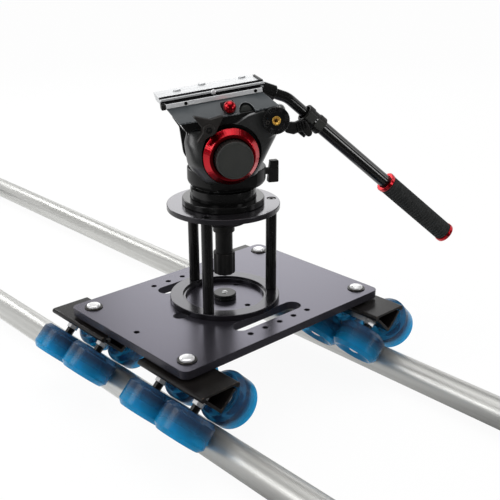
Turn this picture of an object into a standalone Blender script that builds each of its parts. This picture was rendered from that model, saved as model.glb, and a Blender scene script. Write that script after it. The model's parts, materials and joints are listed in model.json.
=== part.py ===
"""Camera slider: a four-truck dolly on two tubes, carrying a riser and a fluid pan-and-tilt head.

Units are metres and +Z is up. The origin is on the floor, under the middle of the far end tie. The tubes run
along +X, and each empty stands on the axis of the pieces that it carries.
"""
from math import acos, asin, atan2, cos, degrees, pi, radians, sin, sqrt, tan

import bmesh
import bpy
from mathutils import Matrix, Vector

MM = 0.001
GAP = 0.3 * MM              # clearance between pieces that touch or slide
BALL_CLEARANCE = 0.6 * MM   # the same, between round seats, whose facets sag

# Track
RAIL_DIAMETER = 33.4 * MM
RAIL_WALL = 3.4 * MM
RAIL_LENGTH = 1330 * MM
RAIL_GAUGE = 262 * MM       # between the tubes' axes
RAIL_LIFT = 5 * MM          # floor to the underside of a tube
TIE_WIDTH = 24 * MM
TIE_HEIGHT = 44 * MM
TIE_OVERHANG = 38 * MM      # tie beyond each tube's axis
TIE_BEVEL = 2.5 * MM
SPIGOT_LENGTH = 45 * MM

# Carriage
CARRIAGE_X = 940 * MM       # far tie to the middle of the deck
DECK_LENGTH = 212 * MM
DECK_WIDTH = 300 * MM
DECK_THICKNESS = 9.5 * MM
DECK_CORNER = 9 * MM
DECK_BEVEL = 0.9 * MM
TRUCK_SPACING = 172 * MM    # between truck middles, along the tubes
DECK_HOLE_RADIUS = 3.2 * MM
DECK_ROW = 87 * MM          # deck's middle to each row of spare holes
DECK_ROW_HOLES = 5
DECK_HOLE_PITCH = 22 * MM
DECK_END_HOLE = 132 * MM    # deck's middle to the spare hole near one end
SIDE_SLOT_AT = 67 * MM      # deck's middle to each long slot
SIDE_SLOT_SPAN = 80 * MM    # between the middles of its round ends
SIDE_SLOT_WIDTH = 20 * MM
RISER_SLOT_START = 52 * MM
RISER_SLOT_END = 73 * MM
RISER_SLOT_WIDTH = 14 * MM

# Trucks and wheels
WHEEL_DIAMETER = 57 * MM
TREAD_WIDTH = 22 * MM
WHEEL_LIP = 5 * MM          # bevel on each side of the tread
HUB_WIDTH = 18 * MM
HUB_RADIUS = 11 * MM
WHEEL_SPACING = 61 * MM     # between the two axles on one side of a truck
WHEEL_STAGGER = 4 * MM      # left axles forward and right axles back, so that their ends pass each other
AXLE_DIAMETER = 8 * MM
AXLE_HEAD_RADIUS = 6.5 * MM
AXLE_HEAD_HEIGHT = 4 * MM
AXLE_SPACER = 12.6 * MM     # angle to the near face of a wheel
ANGLE_WALL = 3.2 * MM
ANGLE_MARGIN = 18 * MM      # axle to the free edge of the angle
TRUCK_CAP = 2.6 * MM
TRUCK_LENGTH = 105 * MM
PIVOT_WASHER = 2 * MM       # between a truck and the deck
PIVOT_DIAMETER = 10 * MM
PIVOT_HEAD_RADIUS = 7.3 * MM
PIVOT_HEAD_HEIGHT = 5 * MM
PIVOT_WASHER_RADIUS = 10.5 * MM
PIVOT_NUT_RADIUS = 8 * MM
PIVOT_NUT_HEIGHT = 4 * MM

# Riser
RISER_AT = (-2.6 * MM, -2.8 * MM)   # on the deck
RISER_RADIUS = 64.3 * MM
RISER_BASE_BORE = 46 * MM
RISER_BASE_THICKNESS = 6.5 * MM
RISER_TOP_THICKNESS = 6 * MM
POST_DIAMETER = 12.7 * MM
POST_LENGTH = 106 * MM
POST_CIRCLE = 56 * MM
POST_ANGLES = (180, 300, 60)
CENTRE_BOLT_RADIUS = 13.5 * MM
CENTRE_BOLT_HEIGHT = 8 * MM
CENTRE_BOLT_SHANK = 5 * MM

# Bowl and half ball
BALL_RADIUS = 37.5 * MM
BOWL_LIP_RADIUS = 46.6 * MM
BOWL_LIP_HEIGHT = 7 * MM
BOWL_WALL = 4 * MM
BOWL_DEPTH = 27 * MM        # ball centre to the bowl's lower edge
BALL_RISE = 6 * MM          # ball centre above the bowl's lip
BALL_FLAT = 20 * MM         # ball centre to its flat underside
BALL_CROWN = 6 * MM         # ball centre to the top of its round zone
NECK_RADIUS = 31.4 * MM
STUD_RADIUS = 5 * MM
CUP_WALL = 1.8 * MM
CUP_REACH = 54              # degrees from straight down to the cup's rim
CUP_BORE = 12 * MM
CUP_FLOOR_RADIUS = 26.5 * MM
CUP_SEAT_RADIUS = 36 * MM   # round seat for the knob, about the ball centre
CUP_SEAT_EDGE = 19 * MM
KNOB_COLLAR_RADIUS = 12.5 * MM
KNOB_COLLAR_DROP = 48.3 * MM
KNOB_NECK_RADIUS = 10 * MM
KNOB_NECK_DROP = 73.3 * MM
KNOB_GRIP_RADIUS = 12.8 * MM
KNOB_GRIP_DROP = 100.3 * MM

# Head
HEAD_YAW = 62.4             # degrees from the tubes to the operator's side
HEAD_TILT = 7               # degrees that the front hangs down
PAN_RADIUS = 44 * MM
PAN_SETBACK = 4 * MM        # middle of the round foot behind the pan axis
PAN_HEIGHT = 20 * MM
PAN_FOOT_RADIUS = 37 * MM
PAN_LEDGE = 2 * MM          # height of the full round foot, under the cheeks
PAN_RISE = 9 * MM           # ball centre to the pan base
SPINDLE_RADIUS = 12 * MM
SPINDLE_HEIGHT = 13 * MM
TILT_HEIGHT = 51.7 * MM     # ball centre to the tilt axis
TILT_X = -2 * MM            # pan axis to the tilt axis
BARREL_RADIUS = 26 * MM
CHEEK_INNER = 36 * MM       # middle plane to a cheek
CHEEK_THICKNESS = 10 * MM
CHEEK_BEVEL = 1.2 * MM
# Outlines of the cheeks: X and height from the tilt axis, and the corner's fillet
NEAR_CHEEK = ((-48, 42, 3), (-44, 22, 14), (-44, -6, 18), (-25, -31, 18), (22, -31, 14), (58, 16, 4), (67, 16, 8),
              (67, 42, 3))
FAR_CHEEK = ((-48, 42, 3), (-37, 20, 8), (-37, -14, 16), (-20, -31, 14), (22, -31, 14), (58, 16, 4), (67, 16, 8),
             (67, 42, 3))
SHAFT_RADIUS = 12 * MM
SADDLE_SECTIONS = ((33, -44, 54, 46), (44, -49, 59, 46), (57, -57, 47, 29))   # height, front, back, half width
BED_FRONT = -57 * MM
BED_LENGTH = 104 * MM
BED_HALF_WIDTH = 29 * MM
BED_FLOOR = 2 * MM
BED_HEIGHT = 4.8 * MM
BED_CHANNEL = 16 * MM       # half width of the channel
PLATE_FRONT = -61 * MM
PLATE_LENGTH = 113 * MM
PLATE_HALF_WIDTH = 22.5 * MM
PLATE_THICKNESS = 4.2 * MM
RING_RADIUS = 30.8 * MM
RING_HEIGHT = 9 * MM
RING_BEVEL = 3.5 * MM
DRAG_CAP_RADIUS = 20.3 * MM
DRAG_CAP_HEIGHT = 20 * MM
CAP_EDGE = 1.2 * MM
FAR_CAP_RADIUS = 30 * MM
FAR_CAP_HEIGHT = 7 * MM
LEVER_AT = (-21.2 * MM, 34.3 * MM)
LEVER_HUB_RADIUS = 6.5 * MM
LEVER_HUB_HEIGHT = 11 * MM
LEVER_THICKNESS = 7 * MM
LEVER_OUTLINE = ((-17, 14, 3), (12, 12.5, 3), (5, -3, 5), (-13, -15, 2), (-8, 0, 3))
BUTTON_AT = (6.2 * MM, 51.3 * MM)
BUTTON_RADIUS = 6.8 * MM
BUTTON_REACH = 44 * MM      # middle plane to the button's ball
BUTTON_STEM_RADIUS = 3.5 * MM
BUTTON_STEM_LENGTH = 17 * MM
BUTTON_POCKET = 7.8 * MM
BUTTON_POCKET_FLOOR = 31.5 * MM
ROSETTE_AT = (52.3 * MM, 30 * MM)
ROSETTE_RADIUS = 14.6 * MM
ROSETTE_HEIGHT = 6.5 * MM
ROSETTE_BORE = 5 * MM
PAN_LOCK_RADIUS = 11.3 * MM
PAN_LOCK_HEIGHT = 7 * MM
PAN_LOCK_STEM = 4 * MM
PAN_LOCK_STANDOFF = 7 * MM
PAN_LOCK_RISE = 10 * MM     # above the underside of the pan base

# Pan bar, in a frame on the rosette with X along the straight tube
BAR_DROP = 40.9             # degrees below level
BAR_OFFSET = 31.4 * MM      # rosette axis to the straight tube's axis
BAR_KINK = 20.7             # degrees between the bent end and the straight tube
BAR_BEND_AT = 36 * MM
BAR_BEND_RADIUS = 30 * MM
BAR_TUBE_DIAMETER = 13 * MM
BAR_TUBE_WALL = 1.5 * MM
BAR_TUBE_END = 240 * MM
BAR_TUBE_START = 4 * MM
FOOT_SOCKET_RADIUS = 9.5 * MM
FOOT_SOCKET_LENGTH = 17 * MM
FOOT_WEB = 7.3 * MM         # half width of the arm up to the socket
THUMB_RADIUS = 14 * MM
THUMB_HEIGHT = 16 * MM
THUMB_SHANK = 4.5 * MM
SLEEVE_START = 70 * MM
SLEEVE_LENGTH = 259 * MM
SLEEVE_DIAMETER = 17 * MM
COLLAR_START = 65 * MM
COLLAR_LENGTH = 28 * MM
COLLAR_RADIUS = 11.5 * MM
COLLAR_LUG = 16 * MM        # tube axis to the clamp screw
COLLAR_LUG_WIDTH = 13 * MM
COLLAR_SCREW_RADIUS = 3 * MM
CLAMP_HUB_RADIUS = 5.5 * MM
CLAMP_HUB_HEIGHT = 13 * MM
CLAMP_WING_THICKNESS = 7 * MM
CLAMP_WING = ((5, 2, 2), (-3, 7, 2), (-10, 6, 3), (-19, -12, 3), (-12, -18, 3), (2, -5, 2))   # from the screw
GRIP_OVERHANG = 1.6 * MM    # end ring's face beyond the sleeve's end
GRIP_LENGTH = 110 * MM
GRIP_RADIUS = 12.5 * MM
GRIP_RING_LENGTH = 5 * MM
GRIP_RING_RADIUS = 13.3 * MM

# Worked out from the driving dimensions
ROOT2 = sqrt(2)
RAIL_RADIUS = RAIL_DIAMETER / 2
RAIL_BORE = RAIL_RADIUS - RAIL_WALL
RAIL_Z = RAIL_LIFT + RAIL_RADIUS
RAIL_START = TIE_WIDTH / 2 + GAP
NEAR_TIE_X = RAIL_START + RAIL_LENGTH + GAP + TIE_WIDTH / 2
WHEEL_RADIUS = WHEEL_DIAMETER / 2
WHEEL_HALF_WIDTH = TREAD_WIDTH / 2 + WHEEL_LIP
WHEEL_RISE = (WHEEL_RADIUS + RAIL_RADIUS + GAP) / ROOT2       # wheel centre above and beside the tube's axis
ANGLE_REACH = WHEEL_HALF_WIDTH + AXLE_SPACER                  # wheel middle to the angle's outer face
ANGLE_VERTEX = ANGLE_REACH * ROOT2                            # tube's axis to the angle's lower edge
ANGLE_LEG = WHEEL_RADIUS + RAIL_RADIUS + GAP - ANGLE_REACH + ANGLE_MARGIN
ANGLE_RISE = ANGLE_LEG / ROOT2
TRUCK_TOP = ANGLE_VERTEX + ANGLE_RISE + TRUCK_CAP             # above the tube's axis
DECK_Z = RAIL_Z + TRUCK_TOP + GAP + PIVOT_WASHER + GAP + DECK_THICKNESS
POST_BASE = GAP + RISER_BASE_THICKNESS + GAP
RISER_TOP_BASE = POST_BASE + POST_LENGTH + GAP
BOWL_BASE = RISER_TOP_BASE + RISER_TOP_THICKNESS + GAP
BALL_Z = BOWL_BASE + BOWL_LIP_HEIGHT + BALL_RISE              # above the deck's top
BOWL_BORE = BALL_RADIUS + BALL_CLEARANCE
BOWL_BODY = BOWL_BORE + BOWL_WALL
CHEEK_FACE = CHEEK_INNER + CHEEK_THICKNESS
SADDLE_TOP = SADDLE_SECTIONS[-1][0] * MM
BED_BASE = SADDLE_TOP + GAP
PLATE_BASE = BED_BASE + BED_HEIGHT + GAP
KEY_BASE = BED_BASE + BED_FLOOR + GAP
FOOT_FACE = CHEEK_FACE + GAP + ROSETTE_HEIGHT + GAP
FOOT_HEIGHT = 2 * FOOT_SOCKET_RADIUS
BAR_Y = FOOT_FACE + FOOT_HEIGHT / 2
GRIP_SPAN = GRIP_LENGTH + 2 * GRIP_RING_LENGTH + 2 * GAP
GRIP_START = SLEEVE_START + SLEEVE_LENGTH + GRIP_OVERHANG - GRIP_SPAN
FACING_NEAR = (pi / 2, 0, 0)       # local Z points to the near side, -Y
FACING_FAR = (-pi / 2, 0, 0)
FACING_BACK = (0, pi / 2, 0)       # local Z points along +X

ROUND_SIDES = 20            # sides of a round piece
LARGE_SIDES = 32
WHEEL_SIDES = 20
SMALL_SIDES = 12
BOLT_SIDES = 8
ARC_STEP = radians(20)
SEAT_STEP = radians(10)     # finer, for round seats
BEND_STEPS = 4
SMOOTH_BELOW = radians(35)


def clear_scene():
    for item in list(bpy.data.objects):
        bpy.data.objects.remove(item, do_unlink=True)


def finish(name, colour, roughness, metallic=0.0):
    """A plain material with the piece's colour and gloss."""
    material = bpy.data.materials.new(name)
    material.use_nodes = True
    shader = material.node_tree.nodes["Principled BSDF"]
    shader.inputs["Base Color"].default_value = (*colour, 1)
    shader.inputs["Roughness"].default_value = roughness
    shader.inputs["Metallic"].default_value = metallic
    return material


def pivot(name, parent=None, at=(0, 0, 0), turn=(0, 0, 0)):
    """An empty on a joint's axis."""
    empty = bpy.data.objects.new(name, None)
    bpy.context.collection.objects.link(empty)
    empty.parent = parent
    empty.location = at
    empty.rotation_euler = turn
    return empty


def piece(name, shape, material, parent=None, at=(0, 0, 0), turn=(0, 0, 0)):
    """One sub-part, made from a bmesh."""
    mesh = bpy.data.meshes.new(name)
    bmesh.ops.recalc_face_normals(shape, faces=shape.faces)
    shape.to_mesh(mesh)
    shape.free()
    mesh.shade_smooth()
    mesh.set_sharp_from_angle(angle=SMOOTH_BELOW)
    mesh.materials.append(material)
    item = bpy.data.objects.new(name, mesh)
    bpy.context.collection.objects.link(item)
    item.parent = parent
    item.location = at
    item.rotation_euler = turn
    return item


def combine(target, shape, operation, at=(0, 0, 0), turn=(0, 0, 0)):
    """Join a shape to a piece or cut it out. The shape is placed in the piece's own frame."""
    count = len(target.modifiers)
    tool = piece(f"{target.name}_tool_{count}", shape, target.data.materials[0], target, at, turn)
    tool.hide_render = True
    tool.display_type = "WIRE"
    modifier = target.modifiers.new(f"{operation.lower()}_{count}", "BOOLEAN")
    modifier.operation = operation
    modifier.object = tool


def soften(target, width):
    """A small bevel along a piece's sharp edges."""
    modifier = target.modifiers.new("bevel", "BEVEL")
    modifier.width = width
    modifier.segments = 1
    modifier.limit_method = "ANGLE"
    modifier.angle_limit = radians(40)


def turned(profile, sides=ROUND_SIDES):
    """A shape turned about Z from (radius, height) points. One that leaves the axis closes on itself as a ring."""
    shape = bmesh.new()
    rings = []
    for radius, height in profile:
        steps = [0] if radius == 0 else [2 * pi * k / sides for k in range(sides)]
        rings.append([shape.verts.new((radius * cos(a), radius * sin(a), height)) for a in steps])
    pairs = list(zip(rings, rings[1:]))
    if profile[0][0] > 0:
        pairs.append((rings[-1], rings[0]))
    for first, second in pairs:
        for k in range(sides):
            corners = [first[k % len(first)], first[(k + 1) % len(first)],
                       second[(k + 1) % len(second)], second[k % len(second)]]
            shape.faces.new(list(dict.fromkeys(corners)))
    return shape


def cylinder(radius, low, high, sides=ROUND_SIDES):
    return turned(((0, low), (radius, low), (radius, high), (0, high)), sides)


def ring(outer, inner, low, high, sides=ROUND_SIDES):
    return turned(((outer, low), (outer, high), (inner, high), (inner, low)), sides)


def prism(outline, low, high):
    """An outline in XY, raised from low to high."""
    shape = bmesh.new()
    layers = [[shape.verts.new((x, y, z)) for x, y in outline] for z in (low, high)]
    for layer in layers:
        shape.faces.new(layer)
    for k in range(len(outline)):
        after = (k + 1) % len(outline)
        shape.faces.new((layers[0][k], layers[0][after], layers[1][after], layers[1][k]))
    return shape


def box(low, high):
    return prism(((low[0], low[1]), (high[0], low[1]), (high[0], high[1]), (low[0], high[1])), low[2], high[2])


def rounded(corners):
    """An outline from (x, y, radius) corners, each with its fillet."""
    outline = []
    for k, (x, y, radius) in enumerate(corners):
        here = Vector((x, y))
        back = (Vector(corners[k - 1][:2]) - here).normalized()
        onward = (Vector(corners[(k + 1) % len(corners)][:2]) - here).normalized()
        half = acos(max(-1, min(1, back.dot(onward)))) / 2
        centre = here + (back + onward).normalized() * radius / sin(half)
        start = here + back * radius / tan(half) - centre
        swing = pi - 2 * half
        if back.cross(onward) > 0:
            swing = -swing
        steps = max(1, round(abs(swing) / ARC_STEP))
        for step in range(steps + 1):
            turn = Matrix.Rotation(swing * step / steps, 2)
            outline.append(tuple(centre + turn @ start))
    return outline


def slot_outline(start, end, width):
    """A round-ended slot between two points."""
    radius = width / 2
    heading = atan2(end[1] - start[1], end[0] - start[0])
    steps = round(pi / ARC_STEP)
    outline = []
    for (x, y), first in ((end, heading - pi / 2), (start, heading + pi / 2)):
        angles = [first + pi * step / steps for step in range(steps + 1)]
        outline += [(x + radius * cos(a), y + radius * sin(a)) for a in angles]
    return outline


def arc(radius, first, last):
    """Points (radius, height) on a circle about the origin, by degrees from straight down."""
    steps = max(2, round(abs(radians(last - first)) / SEAT_STEP))
    angles = [radians(first + (last - first) * step / steps) for step in range(steps + 1)]
    return [(radius * sin(a), -radius * cos(a)) for a in angles]


def from_down(radius, height):
    """Degrees from straight down to the level of a height on a circle about the origin."""
    return 180 - degrees(acos(height / radius))


def swept(path, outer, inner, sides=SMALL_SIDES):
    """A tube along points of the XZ plane."""
    shape = bmesh.new()
    loops = {outer: [], inner: []}
    for k, (x, z) in enumerate(path):
        before, after = path[max(k - 1, 0)], path[min(k + 1, len(path) - 1)]
        along = Vector((after[0] - before[0], 0, after[1] - before[1])).normalized()
        across = Vector((-along.z, 0, along.x))
        for radius, rows in loops.items():
            points = []
            for side in range(sides):
                a = 2 * pi * side / sides
                points.append(Vector((x, 0, z)) + across * radius * cos(a) + Vector((0, radius * sin(a), 0)))
            rows.append([shape.verts.new(point) for point in points])
    skins = loops[outer] + loops[inner][::-1]
    for first, second in zip(skins, skins[1:] + skins[:1]):
        for k in range(sides):
            after = (k + 1) % sides
            shape.faces.new((first[k], first[after], second[after], second[k]))
    return shape


def merge(shapes):
    """Several bmeshes as one, each moved by its matrix."""
    whole = bmesh.new()
    for shape, matrix in shapes:
        shape.transform(matrix)
        scratch = bpy.data.meshes.new("scratch")
        shape.to_mesh(scratch)
        shape.free()
        whole.from_mesh(scratch)
        bpy.data.meshes.remove(scratch)
    return whole


def make_track(tube, dark):
    """Two tubes, with a tie across each end that plugs into their bores."""
    for name, side in (("rail_front", -1), ("rail_back", 1)):
        shape = ring(RAIL_RADIUS, RAIL_BORE, 0, RAIL_LENGTH, LARGE_SIDES)
        piece(name, shape, tube, at=(RAIL_START, side * RAIL_GAUGE / 2, RAIL_Z), turn=FACING_BACK)
    reach = RAIL_GAUGE / 2 + TIE_OVERHANG
    for name, x, inward in (("end_tie_far", 0, 1), ("end_tie_near", NEAR_TIE_X, -1)):
        shape = box((-TIE_WIDTH / 2, -reach, 0), (TIE_WIDTH / 2, reach, TIE_HEIGHT))
        tie = piece(name, shape, dark, at=(x, 0, 0))
        soften(tie, TIE_BEVEL)
        for side in (-1, 1):
            spigot = cylinder(RAIL_BORE - GAP, 0, TIE_WIDTH / 2 + SPIGOT_LENGTH)
            combine(tie, spigot, "UNION", (0, side * RAIL_GAUGE / 2, RAIL_Z), (0, inward * pi / 2, 0))


def truck_places():
    """Name, X and Y of each truck's middle on the carriage."""
    for end, x in (("far", -TRUCK_SPACING / 2), ("near", TRUCK_SPACING / 2)):
        for row, y in (("front", -RAIL_GAUGE / 2), ("back", RAIL_GAUGE / 2)):
            yield f"{end}_{row}", x, y


def wheel_places():
    """Name, X offset and side of each wheel on a truck."""
    for end, x in (("a", -WHEEL_SPACING / 2), ("b", WHEEL_SPACING / 2)):
        for name, side in (("left", -1), ("right", 1)):
            yield f"{name}_{end}", x - side * WHEEL_STAGGER, side


def deck_slots():
    """Both ends and the width of each slot in the deck."""
    for x in (-SIDE_SLOT_AT, SIDE_SLOT_AT):
        yield (x, -SIDE_SLOT_SPAN / 2), (x, SIDE_SLOT_SPAN / 2), SIDE_SLOT_WIDTH
    yield (0, -RISER_SLOT_START), (0, -RISER_SLOT_END), RISER_SLOT_WIDTH


def make_deck(carriage, black):
    shape = prism(rounded([(x * DECK_LENGTH / 2, y * DECK_WIDTH / 2, DECK_CORNER)
                           for x, y in ((-1, -1), (1, -1), (1, 1), (-1, 1))]), -DECK_THICKNESS, 0)
    deck = piece("deck_plate", shape, black, carriage)
    soften(deck, DECK_BEVEL)
    below, above = -2 * DECK_THICKNESS, DECK_THICKNESS
    first = -DECK_HOLE_PITCH * (DECK_ROW_HOLES - 1) / 2
    holes = [(Vector((x, first + DECK_HOLE_PITCH * k, 0)), DECK_HOLE_RADIUS)
             for x in (-DECK_ROW, DECK_ROW) for k in range(DECK_ROW_HOLES)]
    holes.append((Vector((0, -DECK_END_HOLE, 0)), DECK_HOLE_RADIUS))
    holes += [(Vector((x, y, 0)), PIVOT_DIAMETER / 2 + GAP) for _, x, y in truck_places()]
    holes.append((Vector((*RISER_AT, 0)), CENTRE_BOLT_SHANK + GAP))
    cutters = [(cylinder(radius, below, above, SMALL_SIDES), Matrix.Translation(at)) for at, radius in holes]
    for start, end, width in deck_slots():
        cutters.append((prism(slot_outline(start, end, width), below, above), Matrix.Identity(4)))
    combine(deck, merge(cutters), "DIFFERENCE")


def make_truck(name, x, y, carriage, black):
    """A V of angle closed by a flat cap, with four axles, and the bolt that it pivots on."""
    outer = ((0, ANGLE_VERTEX), (ANGLE_RISE, ANGLE_VERTEX + ANGLE_RISE), (ANGLE_RISE, TRUCK_TOP),
             (-ANGLE_RISE, TRUCK_TOP), (-ANGLE_RISE, ANGLE_VERTEX + ANGLE_RISE))
    wall = ANGLE_WALL * ROOT2
    inner = ((0, ANGLE_VERTEX + wall), (ANGLE_RISE - wall, ANGLE_VERTEX + ANGLE_RISE),
             (wall - ANGLE_RISE, ANGLE_VERTEX + ANGLE_RISE))
    upright = Matrix(((0, 0, 1, 0), (1, 0, 0, 0), (0, 1, 0, 0), (0, 0, 0, 1)))
    shape = prism(outer, -TRUCK_LENGTH / 2, TRUCK_LENGTH / 2)
    shape.transform(upright)
    truck = piece(f"truck_{name}", shape, black, carriage, (x, y, RAIL_Z - DECK_Z))
    hollow = prism(inner, -TRUCK_LENGTH, TRUCK_LENGTH)
    hollow.transform(upright)
    combine(truck, hollow, "DIFFERENCE")
    hub = HUB_WIDTH / 2 + GAP
    end = ANGLE_REACH + ANGLE_WALL + AXLE_HEAD_HEIGHT
    axle = ((0, -hub - AXLE_HEAD_HEIGHT), (AXLE_HEAD_RADIUS, -hub - AXLE_HEAD_HEIGHT), (AXLE_HEAD_RADIUS, -hub),
            (AXLE_DIAMETER / 2, -hub), (AXLE_DIAMETER / 2, hub), (AXLE_HEAD_RADIUS, hub), (AXLE_HEAD_RADIUS, end),
            (0, end))
    axles = [(turned(axle, BOLT_SIDES), wheel_matrix(offset, side)) for _, offset, side in wheel_places()]
    combine(truck, merge(axles), "UNION")
    bore = cylinder(PIVOT_DIAMETER / 2 + GAP, TRUCK_TOP - 2 * TRUCK_CAP, TRUCK_TOP + TRUCK_CAP, SMALL_SIDES)
    combine(truck, bore, "DIFFERENCE")

    shank = PIVOT_DIAMETER / 2
    under = -DECK_THICKNESS - GAP
    nut = under - PIVOT_WASHER - GAP - TRUCK_CAP - GAP
    washer = GAP + PIVOT_WASHER
    head = washer + PIVOT_HEAD_HEIGHT
    bolt = ((0, nut - PIVOT_NUT_HEIGHT), (PIVOT_NUT_RADIUS, nut - PIVOT_NUT_HEIGHT), (PIVOT_NUT_RADIUS, nut),
            (shank, nut), (shank, under - PIVOT_WASHER), (PIVOT_WASHER_RADIUS, under - PIVOT_WASHER),
            (PIVOT_WASHER_RADIUS, under), (shank, under), (shank, GAP), (PIVOT_WASHER_RADIUS, GAP),
            (PIVOT_WASHER_RADIUS, washer), (PIVOT_HEAD_RADIUS, washer), (PIVOT_HEAD_RADIUS, head), (0, head))
    return turned(bolt, BOLT_SIDES)


def wheel_matrix(offset, side):
    """Wheel's place on its truck, with local Z along the axle towards the angle."""
    place = Matrix.Translation((offset, side * WHEEL_RISE, WHEEL_RISE))
    return place @ Matrix.Rotation(side * pi / 4, 4, "X")


def make_wheel(name, truck, offset, side, urethane):
    half, lip = WHEEL_HALF_WIDTH, WHEEL_RADIUS - WHEEL_LIP
    hub = HUB_WIDTH / 2
    upper = ((WHEEL_RADIUS, TREAD_WIDTH / 2), (lip, half), (HUB_RADIUS, hub))
    profile = [(r, -h) for r, h in upper[::-1]] + list(upper)
    bore = AXLE_DIAMETER / 2 + GAP
    profile = [(bore, -hub)] + profile + [(bore, hub)]
    wheel = piece(name, turned(profile, WHEEL_SIDES), urethane, truck)
    wheel.matrix_local = wheel_matrix(offset, side)


def make_carriage(carriage, black, steel, urethane):
    make_deck(carriage, black)
    for name, x, y in truck_places():
        bolt = make_truck(name, x, y, carriage, black)
        piece(f"pivot_bolt_{name}", bolt, steel, carriage, (x, y, 0))
        middle = pivot(f"truck_{name}_middle", carriage, (x, y, RAIL_Z - DECK_Z))
        for wheel, offset, side in wheel_places():
            make_wheel(f"wheel_{name}_{wheel}", middle, offset, side, urethane)


def make_riser(riser, black, steel):
    """A base ring, three posts and a top plate around the bowl."""
    base = ring(RISER_RADIUS, RISER_BASE_BORE, GAP, GAP + RISER_BASE_THICKNESS, LARGE_SIDES)
    piece("riser_base", base, black, riser)
    top = ring(RISER_RADIUS, BOWL_BODY + GAP, 0, RISER_TOP_THICKNESS, LARGE_SIDES)
    piece("riser_top", top, black, riser, (0, 0, RISER_TOP_BASE))
    for k, degrees in enumerate(POST_ANGLES):
        a = radians(degrees)
        at = (POST_CIRCLE * cos(a), POST_CIRCLE * sin(a), POST_BASE)
        piece(f"riser_post_{k + 1}", cylinder(POST_DIAMETER / 2, 0, POST_LENGTH, SMALL_SIDES), black, riser, at)
    shank, head = CENTRE_BOLT_SHANK, CENTRE_BOLT_RADIUS
    profile = ((0, -DECK_THICKNESS), (shank, -DECK_THICKNESS), (shank, GAP), (head, GAP),
               (head, GAP + CENTRE_BOLT_HEIGHT), (0, GAP + CENTRE_BOLT_HEIGHT))
    piece("centre_bolt", turned(profile), steel, riser)


def make_bowl(riser, black):
    lip = -BALL_RISE
    step = lip - BOWL_LIP_HEIGHT
    inside = arc(BOWL_BORE, from_down(BOWL_BORE, -BOWL_DEPTH), from_down(BOWL_BORE, lip))
    outside = arc(BOWL_BODY, from_down(BOWL_BODY, step), from_down(BOWL_BODY, -BOWL_DEPTH))
    profile = inside + [(BOWL_LIP_RADIUS, lip), (BOWL_LIP_RADIUS, step)] + outside
    piece("bowl", turned(profile, LARGE_SIDES), black, riser, (0, 0, BALL_Z))


def make_level_cup(level, steel):
    """The dished washer that clamps the bowl from below, with a round seat for the tie-down knob."""
    seat_top = BOWL_BODY + BALL_CLEARANCE
    under = seat_top + CUP_WALL
    floor = -sqrt(under ** 2 - CUP_FLOOR_RADIUS ** 2)
    seat_inner = degrees(asin(CUP_BORE / CUP_SEAT_RADIUS))
    seat_outer = degrees(asin(CUP_SEAT_EDGE / CUP_SEAT_RADIUS))
    upper_seat = CUP_SEAT_RADIUS - CUP_WALL
    top_start = from_down(seat_top, floor + CUP_WALL)
    profile = arc(CUP_SEAT_RADIUS, seat_inner, seat_outer)
    profile += arc(under, from_down(under, floor), CUP_REACH)
    profile += arc(seat_top, CUP_REACH, top_start)
    profile += [(upper_seat * r / CUP_SEAT_RADIUS, upper_seat * h / CUP_SEAT_RADIUS)
                for r, h in arc(CUP_SEAT_RADIUS, seat_outer, seat_inner)]
    piece("level_cup", turned(profile, LARGE_SIDES), steel, level)


def make_half_ball(level, black):
    stud_end = -KNOB_GRIP_DROP + KNOB_GRIP_RADIUS
    zone = arc(BALL_RADIUS, from_down(BALL_RADIUS, -BALL_FLAT), from_down(BALL_RADIUS, BALL_CROWN))
    top = PAN_RISE - GAP
    profile = [(0, stud_end), (STUD_RADIUS, stud_end), (STUD_RADIUS, -BALL_FLAT)] + zone
    profile += [(NECK_RADIUS, BALL_CROWN), (NECK_RADIUS, top), (SPINDLE_RADIUS, top),
                (SPINDLE_RADIUS, top + SPINDLE_HEIGHT), (0, top + SPINDLE_HEIGHT)]
    piece("half_ball", turned(profile, LARGE_SIDES), black, level)


def make_tie_down_knob(level, rubber):
    seat = CUP_SEAT_RADIUS + GAP
    bore = STUD_RADIUS + GAP
    crown = arc(seat, degrees(asin(KNOB_COLLAR_RADIUS / seat)), degrees(asin(bore / seat)))
    profile = [(bore, -KNOB_GRIP_DROP), (KNOB_GRIP_RADIUS, -KNOB_GRIP_DROP), (KNOB_GRIP_RADIUS, -KNOB_NECK_DROP),
               (KNOB_NECK_RADIUS, -KNOB_NECK_DROP), (KNOB_NECK_RADIUS, -KNOB_COLLAR_DROP),
               (KNOB_COLLAR_RADIUS, -KNOB_COLLAR_DROP)] + crown
    piece("tie_down_knob", turned(profile), rubber, level)


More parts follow.
